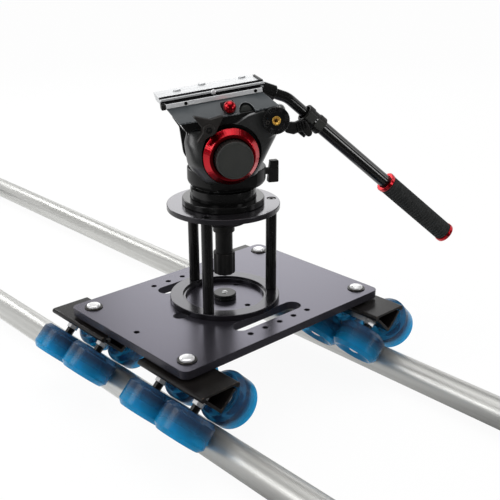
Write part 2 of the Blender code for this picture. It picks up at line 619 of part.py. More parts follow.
def make_pan_base(pan, black):
    """The turning foot of the head, with the barrel that holds the tilt cartridge between the cheeks."""
    top = PAN_RISE + PAN_HEIGHT
    chin = PAN_RADIUS - PAN_FOOT_RADIUS
    bend = [pi / 2 * step / BEND_STEPS for step in range(BEND_STEPS + 1)]
    curve = [(PAN_FOOT_RADIUS + chin * sin(a), PAN_RISE + chin * (1 - cos(a))) for a in bend]
    foot = turned([(0, PAN_RISE)] + curve + [(PAN_RADIUS, top), (0, top)], LARGE_SIDES)
    foot.transform(Matrix.Translation((PAN_SETBACK, 0, 0)))
    base = piece("pan_base", foot, black, pan)
    inside = CHEEK_INNER - GAP
    ledge = PAN_RISE + PAN_LEDGE
    reach = 2 * PAN_RADIUS
    for side in (-1, 1):
        low, high = sorted((side * inside, side * reach))
        combine(base, box((-reach, low, ledge), (reach, high, 2 * top)), "DIFFERENCE")
    post = box((TILT_X - BARREL_RADIUS, -inside, ledge), (TILT_X + BARREL_RADIUS, inside, TILT_HEIGHT))
    combine(base, post, "UNION")
    end = CHEEK_FACE - GAP
    barrel = ((0, -end), (SHAFT_RADIUS, -end), (SHAFT_RADIUS, -inside), (BARREL_RADIUS, -inside),
              (BARREL_RADIUS, inside), (SHAFT_RADIUS, inside), (SHAFT_RADIUS, end), (0, end))
    combine(base, turned(barrel), "UNION", (TILT_X, 0, TILT_HEIGHT), FACING_NEAR)
    bore = cylinder(SPINDLE_RADIUS + GAP, 0, PAN_RISE + SPINDLE_HEIGHT + GAP)
    combine(base, bore, "DIFFERENCE")


def make_pan_lock(pan, rubber):
    height = PAN_RISE + PAN_LOCK_RISE
    start = PAN_SETBACK + PAN_RADIUS + GAP
    face = PAN_LOCK_STANDOFF
    profile = ((0, 0), (PAN_LOCK_STEM, 0), (PAN_LOCK_STEM, face), (PAN_LOCK_RADIUS, face),
               (PAN_LOCK_RADIUS, face + PAN_LOCK_HEIGHT), (0, face + PAN_LOCK_HEIGHT))
    piece("pan_lock_knob", turned(profile), rubber, pan, (start, 0, height), FACING_BACK)


def make_bridge(tilt, grey):
    """Two cheeks beside the barrel, joined by the saddle above it."""
    near, far = [rounded([(x * MM, z * MM, radius * MM) for x, z, radius in corners])
                 for corners in (NEAR_CHEEK, FAR_CHEEK)]
    cheek = prism(near, CHEEK_INNER, CHEEK_FACE)
    bridge = piece("tilt_bridge", cheek, grey, tilt, turn=FACING_NEAR)
    soften(bridge, CHEEK_BEVEL)
    combine(bridge, prism(far, -CHEEK_FACE, -CHEEK_INNER), "UNION")
    combine(bridge, saddle(), "UNION")
    combine(bridge, cylinder(SHAFT_RADIUS + GAP, -2 * CHEEK_FACE, 2 * CHEEK_FACE), "DIFFERENCE")
    pocket = ((0, 0), (BUTTON_STEM_RADIUS + GAP, 0), (BUTTON_STEM_RADIUS + GAP, BUTTON_POCKET_FLOOR),
              (BUTTON_POCKET, BUTTON_POCKET_FLOOR), (BUTTON_POCKET, 2 * CHEEK_FACE), (0, 2 * CHEEK_FACE))
    combine(bridge, turned(pocket, SMALL_SIDES), "DIFFERENCE", (*BUTTON_AT, 0))
    hole = cylinder(ROSETTE_BORE + GAP, -2 * CHEEK_FACE, -CHEEK_INNER + CHEEK_THICKNESS / 2, SMALL_SIDES)
    combine(bridge, hole, "DIFFERENCE", (*ROSETTE_AT, 0))


def saddle():
    """A block lofted through level rectangles, in the bridge's frame: Y up and Z to the near side."""
    shape = bmesh.new()
    rows = []
    for height, front, back, half in SADDLE_SECTIONS:
        corners = ((front, -half), (back, -half), (back, half), (front, half))
        rows.append([shape.verts.new((x * MM, height * MM, z * MM)) for x, z in corners])
    for low, high in zip(rows, rows[1:]):
        for k in range(4):
            after = (k + 1) % 4
            shape.faces.new((low[k], low[after], high[after], high[k]))
    shape.faces.new(rows[0])
    shape.faces.new(rows[-1])
    return shape


def make_slide(tilt, silver, grey):
    """The bed on the saddle and the camera plate that slides in its channel."""
    half, channel = BED_HALF_WIDTH, BED_CHANNEL
    top, floor = BED_HEIGHT, BED_FLOOR
    section = ((-half, 0), (half, 0), (half, top), (channel, top), (channel, floor), (-channel, floor),
               (-channel, top), (-half, top))
    along = Matrix(((0, 0, 1, 0), (1, 0, 0, 0), (0, 1, 0, 0), (0, 0, 0, 1)))
    bed = prism(section, 0, BED_LENGTH)
    bed.transform(along)
    piece("slide_bed", bed, silver, tilt, (BED_FRONT, 0, BED_BASE))
    key = channel - GAP
    low = KEY_BASE - PLATE_BASE
    half = PLATE_HALF_WIDTH
    section = ((-key, low), (key, low), (key, 0), (half, 0), (half, PLATE_THICKNESS), (-half, PLATE_THICKNESS),
               (-half, 0), (-key, 0))
    plate = prism(section, 0, PLATE_LENGTH)
    plate.transform(along)
    piece("camera_plate", plate, grey, tilt, (PLATE_FRONT, 0, PLATE_BASE))


def make_tilt_controls(tilt, red, black, rubber):
    """Drag ring and cap on the near cheek, cover on the far one, lock lever and plate release button."""
    near, far = -CHEEK_FACE - GAP, CHEEK_FACE + GAP
    bevel, height = RING_BEVEL, RING_HEIGHT
    bore = DRAG_CAP_RADIUS + GAP
    profile = ((RING_RADIUS, 0), (RING_RADIUS, height - bevel), (RING_RADIUS - bevel, height), (bore, height),
               (bore, 0))
    piece("drag_ring", turned(profile, LARGE_SIDES), red, tilt, (0, near, 0), FACING_NEAR)
    profile = ((0, 0), (DRAG_CAP_RADIUS, 0), (DRAG_CAP_RADIUS, DRAG_CAP_HEIGHT - CAP_EDGE),
               (DRAG_CAP_RADIUS - CAP_EDGE, DRAG_CAP_HEIGHT), (0, DRAG_CAP_HEIGHT))
    piece("drag_cap", turned(profile, LARGE_SIDES), black, tilt, (0, near, 0), FACING_NEAR)
    bevel = FAR_CAP_HEIGHT / 3
    profile = ((0, 0), (FAR_CAP_RADIUS, 0), (FAR_CAP_RADIUS, FAR_CAP_HEIGHT - bevel),
               (FAR_CAP_RADIUS - bevel, FAR_CAP_HEIGHT), (0, FAR_CAP_HEIGHT))
    piece("far_cover", turned(profile, LARGE_SIDES), black, tilt, (0, far, 0), FACING_FAR)

    outline = rounded([(x * MM, z * MM, radius * MM) for x, z, radius in LEVER_OUTLINE])
    wing = prism(outline, LEVER_HUB_HEIGHT - LEVER_THICKNESS, LEVER_HUB_HEIGHT - GAP)
    lever = piece("tilt_lock_lever", wing, rubber, tilt, (LEVER_AT[0], near, LEVER_AT[1]), FACING_NEAR)
    combine(lever, cylinder(LEVER_HUB_RADIUS, 0, LEVER_HUB_HEIGHT, SMALL_SIDES), "UNION")

    stem = BUTTON_STEM_RADIUS
    ball = arc(BUTTON_RADIUS, degrees(asin(stem / BUTTON_RADIUS)), 180)[:-1]
    profile = [(0, -BUTTON_STEM_LENGTH), (stem, -BUTTON_STEM_LENGTH)] + ball + [(0, BUTTON_RADIUS)]
    at = (BUTTON_AT[0], -BUTTON_REACH, BUTTON_AT[1])
    piece("plate_release_button", turned(profile, SMALL_SIDES), red, tilt, at, FACING_NEAR)


def make_rosettes(tilt, black):
    for name, side, turn in (("rosette_near", -1, FACING_NEAR), ("rosette_far", 1, FACING_FAR)):
        shape = ring(ROSETTE_RADIUS, ROSETTE_BORE, 0, ROSETTE_HEIGHT)
        at = (ROSETTE_AT[0], side * (CHEEK_FACE + GAP), ROSETTE_AT[1])
        piece(name, shape, black, tilt, at, turn)


def bar_path():
    """Axis of the bent tube, from its socket to the far end of the straight stretch."""
    kink = radians(BAR_KINK)
    run = BAR_BEND_RADIUS * tan(kink / 2)
    corner = Vector((BAR_BEND_AT, BAR_OFFSET))
    bent = Vector((cos(kink), sin(kink)))
    first = corner - bent * (BAR_BEND_AT - BAR_TUBE_START) / cos(kink)
    points = [tuple(first)]
    centre = Vector((corner.x + run, corner.y - BAR_BEND_RADIUS))
    for step in range(BEND_STEPS + 1):
        a = kink * (1 - step / BEND_STEPS)
        points.append((centre.x - BAR_BEND_RADIUS * sin(a), centre.y + BAR_BEND_RADIUS * cos(a)))
    points.append((BAR_TUBE_END, BAR_OFFSET))
    return points


def make_pan_bar(bar, black):
    """The foot on the far rosette, its thumb screw, and the bent tube."""
    foot = piece("bar_foot", ring(ROSETTE_RADIUS, ROSETTE_BORE, 0, FOOT_HEIGHT), black, bar,
                 (0, FOOT_FACE, 0), FACING_FAR)
    path = bar_path()
    start, kink = Vector(path[0]), radians(BAR_KINK)
    back, ahead = -FOOT_SOCKET_RADIUS, FOOT_SOCKET_LENGTH
    half = FOOT_HEIGHT / 2 - GAP
    arm = box((-FOOT_WEB, -half, ROSETTE_BORE + 2 * GAP), (FOOT_WEB, half, start.y))
    combine(foot, arm, "UNION", (0, 0, FOOT_HEIGHT / 2), (pi / 2, 0, 0))
    socket = cylinder(FOOT_SOCKET_RADIUS, back, ahead, SMALL_SIDES)
    turn = Matrix.Rotation(pi / 2, 4, "X") @ Matrix.Rotation(pi / 2 - kink, 4, "Y")
    combine(foot, socket, "UNION", (start.x, -start.y, FOOT_HEIGHT / 2), turn.to_euler())
    bore = cylinder(BAR_TUBE_DIAMETER / 2 + GAP, -GAP, 2 * ahead, SMALL_SIDES)
    combine(foot, bore, "DIFFERENCE", (start.x, -start.y, FOOT_HEIGHT / 2), turn.to_euler())
    outer = BAR_TUBE_DIAMETER / 2
    piece("bar_bent_tube", swept(path, outer, outer - BAR_TUBE_WALL), black, bar, (0, BAR_Y, 0))


def make_thumb_screw(bar, rubber):
    shank = -(FOOT_HEIGHT + ROSETTE_HEIGHT + CHEEK_THICKNESS / 2)
    profile = ((0, shank), (THUMB_SHANK, shank), (THUMB_SHANK, GAP), (THUMB_RADIUS, GAP),
               (THUMB_RADIUS, GAP + THUMB_HEIGHT), (0, GAP + THUMB_HEIGHT))
    piece("bar_thumb_screw", turned(profile), rubber, bar, (0, FOOT_FACE + FOOT_HEIGHT, 0), FACING_FAR)


def make_bar_sleeve(bar, black, foam, red):
    """The outer tube that slides on the straight stretch, with its collar and grip."""
    axis = (BAR_Y, BAR_OFFSET)
    outer, bore = SLEEVE_DIAMETER / 2, BAR_TUBE_DIAMETER / 2 + GAP
    piece("bar_sleeve", ring(outer, bore, 0, SLEEVE_LENGTH), black, bar, (SLEEVE_START, *axis), FACING_BACK)
    fit = outer + GAP
    collar = piece("bar_collar", ring(COLLAR_RADIUS, fit, 0, COLLAR_LENGTH), black, bar, (COLLAR_START, *axis),
                   FACING_BACK)
    half = COLLAR_LUG_WIDTH / 2
    middle = COLLAR_LENGTH / 2
    lug = box((fit + GAP, -half, middle - half), (COLLAR_LUG + half, half, middle + half))
    combine(collar, lug, "UNION")
    hole = cylinder(COLLAR_SCREW_RADIUS + GAP, -2 * half, 2 * half, SMALL_SIDES)
    combine(collar, hole, "DIFFERENCE", (COLLAR_LUG, 0, middle), FACING_NEAR)
    for name, start, radius in (("grip_front_ring", GRIP_START, GRIP_RING_RADIUS),
                                ("grip_end_ring", GRIP_START + GRIP_RING_LENGTH + GRIP_LENGTH + 2 * GAP,
                                 GRIP_RING_RADIUS)):
        piece(name, ring(radius, fit, 0, GRIP_RING_LENGTH), red, bar, (start, *axis), FACING_BACK)
    at = (GRIP_START + GRIP_RING_LENGTH + GAP, *axis)
    piece("grip", ring(GRIP_RADIUS, fit, 0, GRIP_LENGTH), foam, bar, at, FACING_BACK)


def make_clamp_knob(bar, rubber):
    """The wing screw of the collar, clear of the collar so that it can turn right round."""
    shank = -COLLAR_LUG_WIDTH - GAP
    hub, height = CLAMP_HUB_RADIUS, CLAMP_HUB_HEIGHT
    profile = ((0, shank), (COLLAR_SCREW_RADIUS, shank), (COLLAR_SCREW_RADIUS, 0), (hub, 0), (hub, height), (0, height))
    at = (COLLAR_START + COLLAR_LENGTH / 2, BAR_Y - COLLAR_LUG_WIDTH / 2 - GAP, BAR_OFFSET - COLLAR_LUG)
    knob = piece("bar_clamp_knob", turned(profile, SMALL_SIDES), rubber, bar, at, FACING_NEAR)
    outline = rounded([(x * MM, z * MM, radius * MM) for x, z, radius in CLAMP_WING])
    combine(knob, prism(outline, height - CLAMP_WING_THICKNESS, height - GAP), "UNION")


def main():
    clear_scene()
    tube = finish("galvanised_tube", (0.62, 0.62, 0.6), 0.38, 0.9)
    dark = finish("dark_tie", (0.05, 0.05, 0.055), 0.6)
    black = finish("black_anodised", (0.02, 0.02, 0.023), 0.4, 0.3)
    steel = finish("bright_steel", (0.7, 0.7, 0.7), 0.25, 1)
    urethane = finish("blue_urethane", (0.005, 0.16, 0.42), 0.25)
    grey = finish("dark_grey_casting", (0.045, 0.05, 0.055), 0.45, 0.2)
    silver = finish("silver_aluminium", (0.6, 0.61, 0.62), 0.3, 0.9)
    red = finish("red_anodised", (0.5, 0.005, 0.015), 0.25, 0.6)
    rubber = finish("black_rubber", (0.018, 0.018, 0.018), 0.7)
    foam = finish("grip_foam", (0.03, 0.03, 0.03), 0.9)

    make_track(tube, dark)
    carriage = pivot("carriage_origin", at=(CARRIAGE_X, 0, DECK_Z))
    make_carriage(carriage, black, steel, urethane)
    riser = pivot("riser_axis", carriage, (*RISER_AT, 0))
    make_riser(riser, black, steel)
    make_bowl(riser, black)

    level = pivot("ball_centre", riser, (0, 0, BALL_Z))
    make_level_cup(level, steel)
    make_half_ball(level, black)
    make_tie_down_knob(level, rubber)

    pan = pivot("pan_axis", level, turn=(0, 0, radians(HEAD_YAW)))
    make_pan_base(pan, black)
    make_pan_lock(pan, rubber)

    tilt = pivot("tilt_axis", pan, (TILT_X, 0, TILT_HEIGHT), (0, -radians(HEAD_TILT), 0))
    make_bridge(tilt, grey)
    make_slide(tilt, silver, grey)
    make_tilt_controls(tilt, red, black, rubber)
    make_rosettes(tilt, black)

    bar = pivot("bar_axis", tilt, (ROSETTE_AT[0], 0, ROSETTE_AT[1]), (0, radians(BAR_DROP + HEAD_TILT), 0))
    make_pan_bar(bar, black)
    make_thumb_screw(bar, rubber)
    make_bar_sleeve(bar, black, foam, red)
    make_clamp_knob(bar, rubber)


main()
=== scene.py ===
"""Looks of the camera slider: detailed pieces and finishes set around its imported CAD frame.

Shapes are drawn in millimetres, and piece() turns them into metres. The frames of the head and of the pan bar
come from the record's joints.
"""

import json
from math import acos, asin, atan2, cos, degrees, hypot, inf, pi, radians, sin, sqrt, tan

import bmesh
import bpy
from mathutils import Matrix, Vector

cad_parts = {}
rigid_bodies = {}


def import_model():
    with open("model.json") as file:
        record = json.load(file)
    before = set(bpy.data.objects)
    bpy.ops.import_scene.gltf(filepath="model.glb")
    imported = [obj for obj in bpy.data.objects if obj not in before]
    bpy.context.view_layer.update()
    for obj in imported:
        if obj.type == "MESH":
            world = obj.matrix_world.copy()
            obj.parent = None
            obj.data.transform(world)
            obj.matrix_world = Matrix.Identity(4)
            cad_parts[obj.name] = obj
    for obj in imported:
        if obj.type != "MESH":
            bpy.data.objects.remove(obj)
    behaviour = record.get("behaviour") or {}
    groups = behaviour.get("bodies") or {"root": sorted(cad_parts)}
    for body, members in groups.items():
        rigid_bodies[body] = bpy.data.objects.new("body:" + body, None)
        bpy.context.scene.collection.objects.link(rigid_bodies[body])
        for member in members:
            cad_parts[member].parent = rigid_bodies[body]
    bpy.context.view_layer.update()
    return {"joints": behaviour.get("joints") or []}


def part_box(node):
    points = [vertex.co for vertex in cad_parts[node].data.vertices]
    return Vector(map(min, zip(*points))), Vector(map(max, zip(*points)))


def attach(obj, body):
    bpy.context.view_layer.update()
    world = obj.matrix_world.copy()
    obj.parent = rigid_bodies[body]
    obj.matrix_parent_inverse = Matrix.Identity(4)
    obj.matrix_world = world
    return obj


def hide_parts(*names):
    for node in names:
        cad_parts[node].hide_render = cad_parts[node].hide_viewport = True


for leftover in list(bpy.data.objects):
    bpy.data.objects.remove(leftover, do_unlink=True)
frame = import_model()
JOINTS = {joint["name"]: joint for joint in frame["joints"]}

MM = 0.001
GAP = 0.3                    # clearance between pieces, as in the CAD
SIDES = 64                   # of a round piece
SMALL_SIDES = 24
HEX = 6
ARC_STEP = radians(10)
SHARP = radians(38)          # edges that turn more than this stay crisp
EDGE_STEPS = 3               # segments of a softened edge
PILLOW_STEPS = 10            # segments of a rounded-over edge
FACING_NEAR = Matrix.Rotation(pi / 2, 4, "X")      # local Z to the near side, -Y
FACING_FAR = Matrix.Rotation(-pi / 2, 4, "X")
FACING_BACK = Matrix.Rotation(pi / 2, 4, "Y")      # local Z along +X
TURNED_OVER = Matrix.Rotation(pi, 4, "X")
ALONG = Matrix(((0, 0, 1, 0), (1, 0, 0, 0), (0, 1, 0, 0), (0, 0, 0, 1)))   # an XY section drawn out along X
KNURL = 0.35                 # depth of fine flutes

# Track
RAIL_RADIUS = 16.7
RAIL_BORE = 13.3
RAIL_CHAMFER = 0.8
RAIL_GAUGE = 262
RAIL_Z = 21.7
RAIL_SIDES = 96
TIE_HALF = 12
TIE_HEIGHT = 44
TIE_REACH = 169
TIE_CROWN = 5
TIE_EDGE = 1.5
PAD_AT = 140
PAD_SIZE = (9, 17)
PAD_HEIGHT = 2.5
TIE_BORE = (9, 6)            # radius and depth of the counterbore for a tie screw
TIE_SCREW = (6.5, 4.5)       # radius and height

# Deck, trucks and wheels
DECK_HALF = (106, 150)
DECK_THICKNESS = 9.5
DECK_CORNER = 9
DECK_EDGE = 1.5
DECK_HOLE = 3.2
DECK_ROW = 87                # deck's middle to each row of spare holes
DECK_ROW_HOLES = 5
DECK_HOLE_PITCH = 22
DECK_OTHER_HOLES = ((0, -132), (31, 3), (-22, 33))
SIDE_SLOT = (67, 40, 10)     # place, half the span between its ends' middles, half width
RISER_SLOT = (52, 73, 7)     # both ends' middles, half width
TRUCK_SPACING = 172
WHEEL_RADIUS = 28.5
WHEEL_TREAD = 11             # half width
WHEEL_HALF = 16
WHEEL_LIP = 23.5
WHEEL_DISH = 20.6
HUB_RADIUS = 11
HUB_HALF = 9
HUB_WALL = 2.6               # of the tyre, round the bearings
HUB_PROUD = 0.5              # how far the tyre stands out over a bearing
DISH_DROP = 0.9              # wheel's face to the rim of its dish
BEARING_INNER = 2            # wheel's middle to a bearing
BEARING_SHIELD = (6.3, 9.2, 0.5)   # inner and outer radius, and depth
BEARING_SLOPE = 0.1          # of the rings beside the shield
BEARING_FIT = 0.05
WHEEL_SIDES = 96
WHEEL_SPACING = 61
WHEEL_STAGGER = 4
AXLE_RADIUS = 4
AXLE_NUT = 6.5
AXLE_END = 4
AXLE_WASHER = 1
SPACER_RADIUS = 4.8
ANGLE_REACH = 28.6           # wheel middle to the angle
ANGLE_WALL = 3.2
ANGLE_RISE = 24.68
TRUCK_CAP = 2.6
CAP_EDGE = 0.6
HEM_RADIUS = 3.1
HEM_OVERHANG = 0.5
TRUCK_HALF = 52.5
TRUCK_EDGE = 0.4
VERTEX = ANGLE_REACH * sqrt(2)         # tube's axis to the vertex of a truck's V
CAP_BASE = VERTEX + ANGLE_RISE
CAP_CROWN = CAP_BASE + TRUCK_CAP
HEM_LOW = CAP_CROWN - 2 * HEM_RADIUS
PIVOT_HEAD = (8, 3)          # radius and height, as of the washer and the nut
PIVOT_WASHER = (10.5, 0.8)
PIVOT_PACKER = 2             # thickness of the washer between the deck and the truck
PIVOT_NUT = (8, 4)
PIVOT_SHANK = 5
PIVOT_EDGE = 0.25

# Riser, bowl and ball
RISER_RADIUS = 64.3
RISER_BORE = 46
RISER_STEP = (49, 4.4)       # radius and height of the step inside the base
BASE_HEIGHT = 6.8
TOP_BASE = 113.4
TOP_HEIGHT = 6
POST_RADIUS = 6.35
POST_FOOT = 7.1
POST_TOP = 113.1
POST_CIRCLE = 56
POST_ANGLES = (180, 300, 60)
POST_SCREW = 4.6
POST_SINK = (3.2, 1)         # depth and flare of a post screw's countersink
KNOB_RADIUS = 13.5
KNOB_TOP = 7.2
KNOB_GROOVE = (3.4, 4.6, 1.2)   # lower edge, upper edge and depth
KNOB_DOME = (3.6, 1.9)       # radius and rise of the screw in the knob
BALL_RADIUS = 37.5
BOWL_BORE = 38.1
BOWL_BODY = 42.1
BOWL_LIP = (46.6, -6, -13)   # radius, top and underside from the ball's centre
BOWL_DEPTH = 27
BALL_FLAT = 20
BALL_CROWN = 6
NECK_RADIUS = 31.4
NECK_TOP = 8.7
SPINDLE = (12, 21.7)
STUD = (5, -87.5)
CUP_SEAT = 36
CUP_BORE = 12
CUP_SEAT_EDGE = 19
CUP_FLOOR = 26.5
CUP_WALL = 1.8
CUP_TOP = 42.7
CUP_REACH = 54
TIE_DOWN_GRIP = (12.8, -100.3, -73.3)   # radius, foot and top of the fluted grip
TIE_DOWN_NECK = (10, -48.3)  # radius and top
TIE_DOWN_SEAT = 12.5
TIE_DOWN_FLUTES = (10, 0.9, -74)   # number, depth and upper end

# Head
PAN_RADIUS = 44
PAN_FOOT = 37
PAN_SETBACK = 4
PAN_BASE = 9                 # ball's centre to the underside
PAN_TOP = 29
PAN_LEDGE = 11
CHIN_STEPS = 8
ARCH_STEPS = 24
TILT_AT = (-2, 51.7)
BARREL_RADIUS = 26
CHEEK_INNER = 36
CHEEK_FACE = 46
CHEEK_ROUND = 7.4
COVER_REACH = (5, 20)        # how far in the near cover's edge is rounded, at its top and at its left side
COVER_BULGE = 3.4            # rise of the cover's left side over the cheek's face
COVER_SHOULDER = 0.4         # share of its height that the left side loses towards the top
COVER_BASE = 3.2             # inner wall's thickness, behind the cover
COVER_LEDGE = 0.5            # least width of the cover round the pocket
COVER_STEPS = 12
NEAR_CHEEK = ((-46, 42, 3), (-44, 22, 14), (-44, -6, 18), (-25, -31, 18), (22, -31, 14), (58, 16, 6),
              (67, 16, 8), (67, 42, 3))
NEAR_COVER = ((-40, 35, 9), (-45.5, 21, 14), (-45.5, -4, 18), (-27, -31, 18), (26, -31, 15), (58, 16, 6),
              (67, 16, 8), (67, 43.5, 6), (40, 43.4, 14), (26, 41.6, 14), (3, 33, 12), (-20, 34, 12))
FAR_CHEEK = ((-48, 42, 8), (-37, 20, 8), (-37, -14, 16), (-20, -31, 14), (22, -31, 14), (58, 16, 6),
             (67, 16, 8), (67, 42, 8))
# Height, front, back and half width
SADDLE_SECTIONS = ((42.6, -48.6, 58.6, 46), (44, -49, 59, 46), (57, -57, 47, 29))
CORE_SECTIONS = ((33, -43, 53, 43), (42.8, -47.5, 57.5, 43))
SADDLE_EDGE = 1.4
BUTTON_AT = (6.2, 51.3)
BUTTON_RADIUS = 6.8
BUTTON_REACH = 44
BUTTON_POCKET = (7.8, 31.5)
BUTTON_STEM = (3.5, 17)
RECESS_AT = (24, 43)
RECESS = (8.5, 31)           # radius and floor
RECESS_PLUG = (7, -1.2, 40)  # radius, drop from the recess's middle, and face
RING_POCKET = (1.4, 0.9, 33)   # middle and radius of the pocket round the drag ring
RING_HUB = 26
BED_SPAN = (-57, 47)
BED_HALF = 29
BED_BASE = 57.3
BED_FLOOR = 2
BED_HEIGHT = 4.8
CHANNEL_HALF = 16
PLATE_SPAN = (-61, 52)
PLATE_HALF = 22.5
PLATE_BASE = 62.4
PLATE_TOP = 66.6
BED_SCREWS = (-36, 39.5)
BED_SCREW = (1.7, 1.2)
BED_CAP = 5
BED_CORNER = 9
LINER = (19, 28.3)           # its two edges, from the bed's middle
LINER_HEIGHT = 0.2
STRIP = (-20.8, -11.5)       # rubber strip, across the plate
PLATE_LIP = 1.9              # underside to the bright lip
PLATE_GROOVE = 3
PLATE_CHAMFER = 0.5
STRIP_DEPTH = 1.2
STRIP_RIB = (3, 1.2, 0.6)    # pitch, width, and margin at its ends
GROOVE_SHADE_SETBACK = 0.6             # plate's side to the black strip in its groove, a painted shade
PLATE_PAD = (4.2, 1.4)       # radius and height
PLATE_PADS = ((-37.7, 8.9), (-8.1, 18.1), (37.2, 17.5))
PLATE_STOP = ((3, 0.4), (-19, 14), (0.1, 1.8))   # from the plate's end, across it, and over its top
PLATE_STUD = -4.4
STUD_HEAD = (2.7, 1.6, 2.2)  # radius, and height of its rim and of its crown
RING_RADIUS = 30.8
RING_HEIGHT = 9
RING_WALL = 2.2              # height of the ring's wall under its cone
RING_CONE = 24.6             # radius of the cone's upper end
CAP_RADIUS = 20.3
CAP_HEIGHT = 20
CAP_RIM = 2.4                # top to the toothed skirt
CAP_TEETH = 36
CAP_TOOTH = 0.8
CAP_SINK = 0.5               # of the cap's face inside its rim
COVER = (30, 7)
COVER_RIM = 7
COVER_SINK = 1.2
LEVER_AT = (-21.2, 34.3)
LEVER_OUTLINE = ((-14.8, 17.7, 1), (-5, 1, 3), (-15, -12.2, 1), (6.5, -5, 3), (18, 12.6, 1), (3, 10.5, 4))
LEVER_HUB = (6.5, 11)
LEVER_BASE = 4.5
LEVER_EDGE = 0.9
LEVER_SCREW = 3.4
ROSETTE_AT = (52.3, 30)
ROSETTE_RADIUS = 14.6
ROSETTE_HEIGHT = 6.5
ROSETTE_BORE = 5
ROSETTE_PIN = (9.9, 2.3)     # place and radius
INSERT = (2.1, 3.6)          # radius of its bore and of its mouth
TEETH = 40
TOOTH = (5, 0.8)             # length and depth
LOCK_STEM = (4, 9)           # radius and length
# Side view of the paddle, from the stem's foot
LOCK_PADDLE = ((6.2, 12.2, 1.2), (15.8, 12.2, 1.4), (15.8, -13.2, 1.4), (3.4, -13.2, 1.2))
LOCK_PADDLE_HALF = 3.2
LOCK_GROOVES = (2.2, 0.7, 4)   # pitch, depth and number of the grooves across the paddle's end

# Pan bar
BAR_OFFSET = 31.4
BAR_KINK = radians(20.7)
BEND_AT = 36
BEND_RADIUS = 30
TUBE_RADIUS = 6.5
TUBE_WALL = 1.5
TUBE_START = 4
TUBE_END = 240
FOOT_FACE = 53.1
FOOT_HEIGHT = 19
FOOT_SOCKET = (9.5, 17)
FOOT_WEB = 7.3
BAR_AXIS = FOOT_FACE + FOOT_HEIGHT / 2   # middle of the tubes, in Y
THUMB = (14, 16)
THUMB_LOBES = (9, 1.4)       # number and depth
THUMB_SHANK = 4.5
SLEEVE = (70, 259, 8.5)      # start, length and radius, as of the collar and the grip
SLEEVE_FIT = SLEEVE[2] + GAP
COLLAR = (65, 28, 11.5)
COLLAR_MIDDLE = COLLAR[0] + COLLAR[1] / 2
COLLAR_BAND = (8.5, 9, 1.2)  # width of each end's band at its top and at its foot, and its height
LUG_AT = 16
LUG_HALF = 6.5
CLAMP_HUB = (4.2, 11.5)
CLAMP_WING = ((1.5, 1, 3), (-3.5, 6.5, 3), (-12, 8.8, 2), (-18.5, 5.8, 2), (-22, -0.5, 2), (-28, -4.8, 2),
              (-28.5, -12, 3), (-23.5, -17.3, 3), (-13.8, -12.8, 3), (-8, -3, 3), (-1.5, -4, 2.5))
CLAMP_WING_BASE = 6.4
CLAMP_WING_EDGE = 1.6
CLAMP_RIBS = ((-11, 5), (-13, 2.2), (-15, -0.6), (-17, -3.4))   # middles of the ribs on the wing
CLAMP_RIB = (5, 0.9)         # half length and radius
CLAMP_RIB_TURN = radians(-35)
COLLAR_EAR = (6, 5.5, 12.6)  # half length, half height and reach of each ear
COLLAR_SCREW = (2.4, 1.3)    # radius, and height over the axis
LUG_KNOB = (6, 7.5)          # radius and length below the clamp's axis
LUG_NECK = 5                 # clamp's axis to the neck
LUG_FLUTE = 0.5
CLAMP_SHANK = 3
GRIP_RINGS = (210, 325.6)
GRIP_RING = (5, 13.3)        # length and radius
GRIP = (215.3, 110, 12.5)
GRIP_RIBS = (26, 0.6)        # number and height


def rounded(corners):
    """A closed outline from (x, y, radius) corners, each with its fillet."""
    outline = []
    for k, (x, y, radius) in enumerate(corners):
        here = Vector((x, y))
        if not radius:
            outline.append((x, y))
            continue
        back = (Vector(corners[k - 1][:2]) - here).normalized()
        onward = (Vector(corners[(k + 1) % len(corners)][:2]) - here).normalized()
        half = acos(max(-1, min(1, back.dot(onward)))) / 2
        centre = here + (back + onward).normalized() * radius / sin(half)
        start = here + back * radius / tan(half) - centre
        swing = pi - 2 * half
        if back.cross(onward) > 0:
            swing = -swing
        steps = max(2, round(abs(swing) / ARC_STEP))
        for step in range(steps + 1):
            outline.append(tuple(centre + Matrix.Rotation(swing * step / steps, 2) @ start))
    return outline


def arc(radius, first, last):
    """Points (radius, height) on a circle about the origin, by degrees from straight down."""
    steps = max(2, round(abs(radians(last - first)) / ARC_STEP * 2))
    angles = [radians(first + (last - first) * step / steps) for step in range(steps + 1)]
    return [(radius * sin(a), -radius * cos(a)) for a in angles]


def from_down(radius, height):
    return 180 - degrees(acos(height / radius))


def circle(radius, x=0, y=0, sides=SMALL_SIDES):
    angles = [2 * pi * k / sides for k in range(sides)]
    return [(x + radius * cos(a), y + radius * sin(a)) for a in angles]


def slot_outline(start, end, radius):
    """A round-ended slot between two points."""
    heading = atan2(end[1] - start[1], end[0] - start[0])
    steps = round(pi / ARC_STEP)
    outline = []
    for (x, y), first in ((end, heading - pi / 2), (start, heading + pi / 2)):
        angles = [first + pi * step / steps for step in range(steps + 1)]
        outline += [(x + radius * cos(a), y + radius * sin(a)) for a in angles]
    return outline


def turned(profile, sides=SIDES):
    """A shape turned about Z from (radius, height) points. One that starts off the axis closes as a ring."""
    shape = bmesh.new()
    rings = []
    for radius, height in profile:
        steps = [0] if radius == 0 else [2 * pi * k / sides for k in range(sides)]
        rings.append([shape.verts.new((radius * cos(a), radius * sin(a), height)) for a in steps])
    pairs = list(zip(rings, rings[1:]))
    if profile[0][0] > 0:
        pairs.append((rings[-1], rings[0]))
    for first, second in pairs:
        for k in range(sides):
            corners = [first[k % len(first)], first[(k + 1) % len(first)],
                       second[(k + 1) % len(second)], second[k % len(second)]]
            shape.faces.new(list(dict.fromkeys(corners)))
    return shape


def lathe(corners, sides=SIDES):
    """A shape turned about Z from (radius, height, fillet) corners."""
    return turned(rounded(corners), sides)


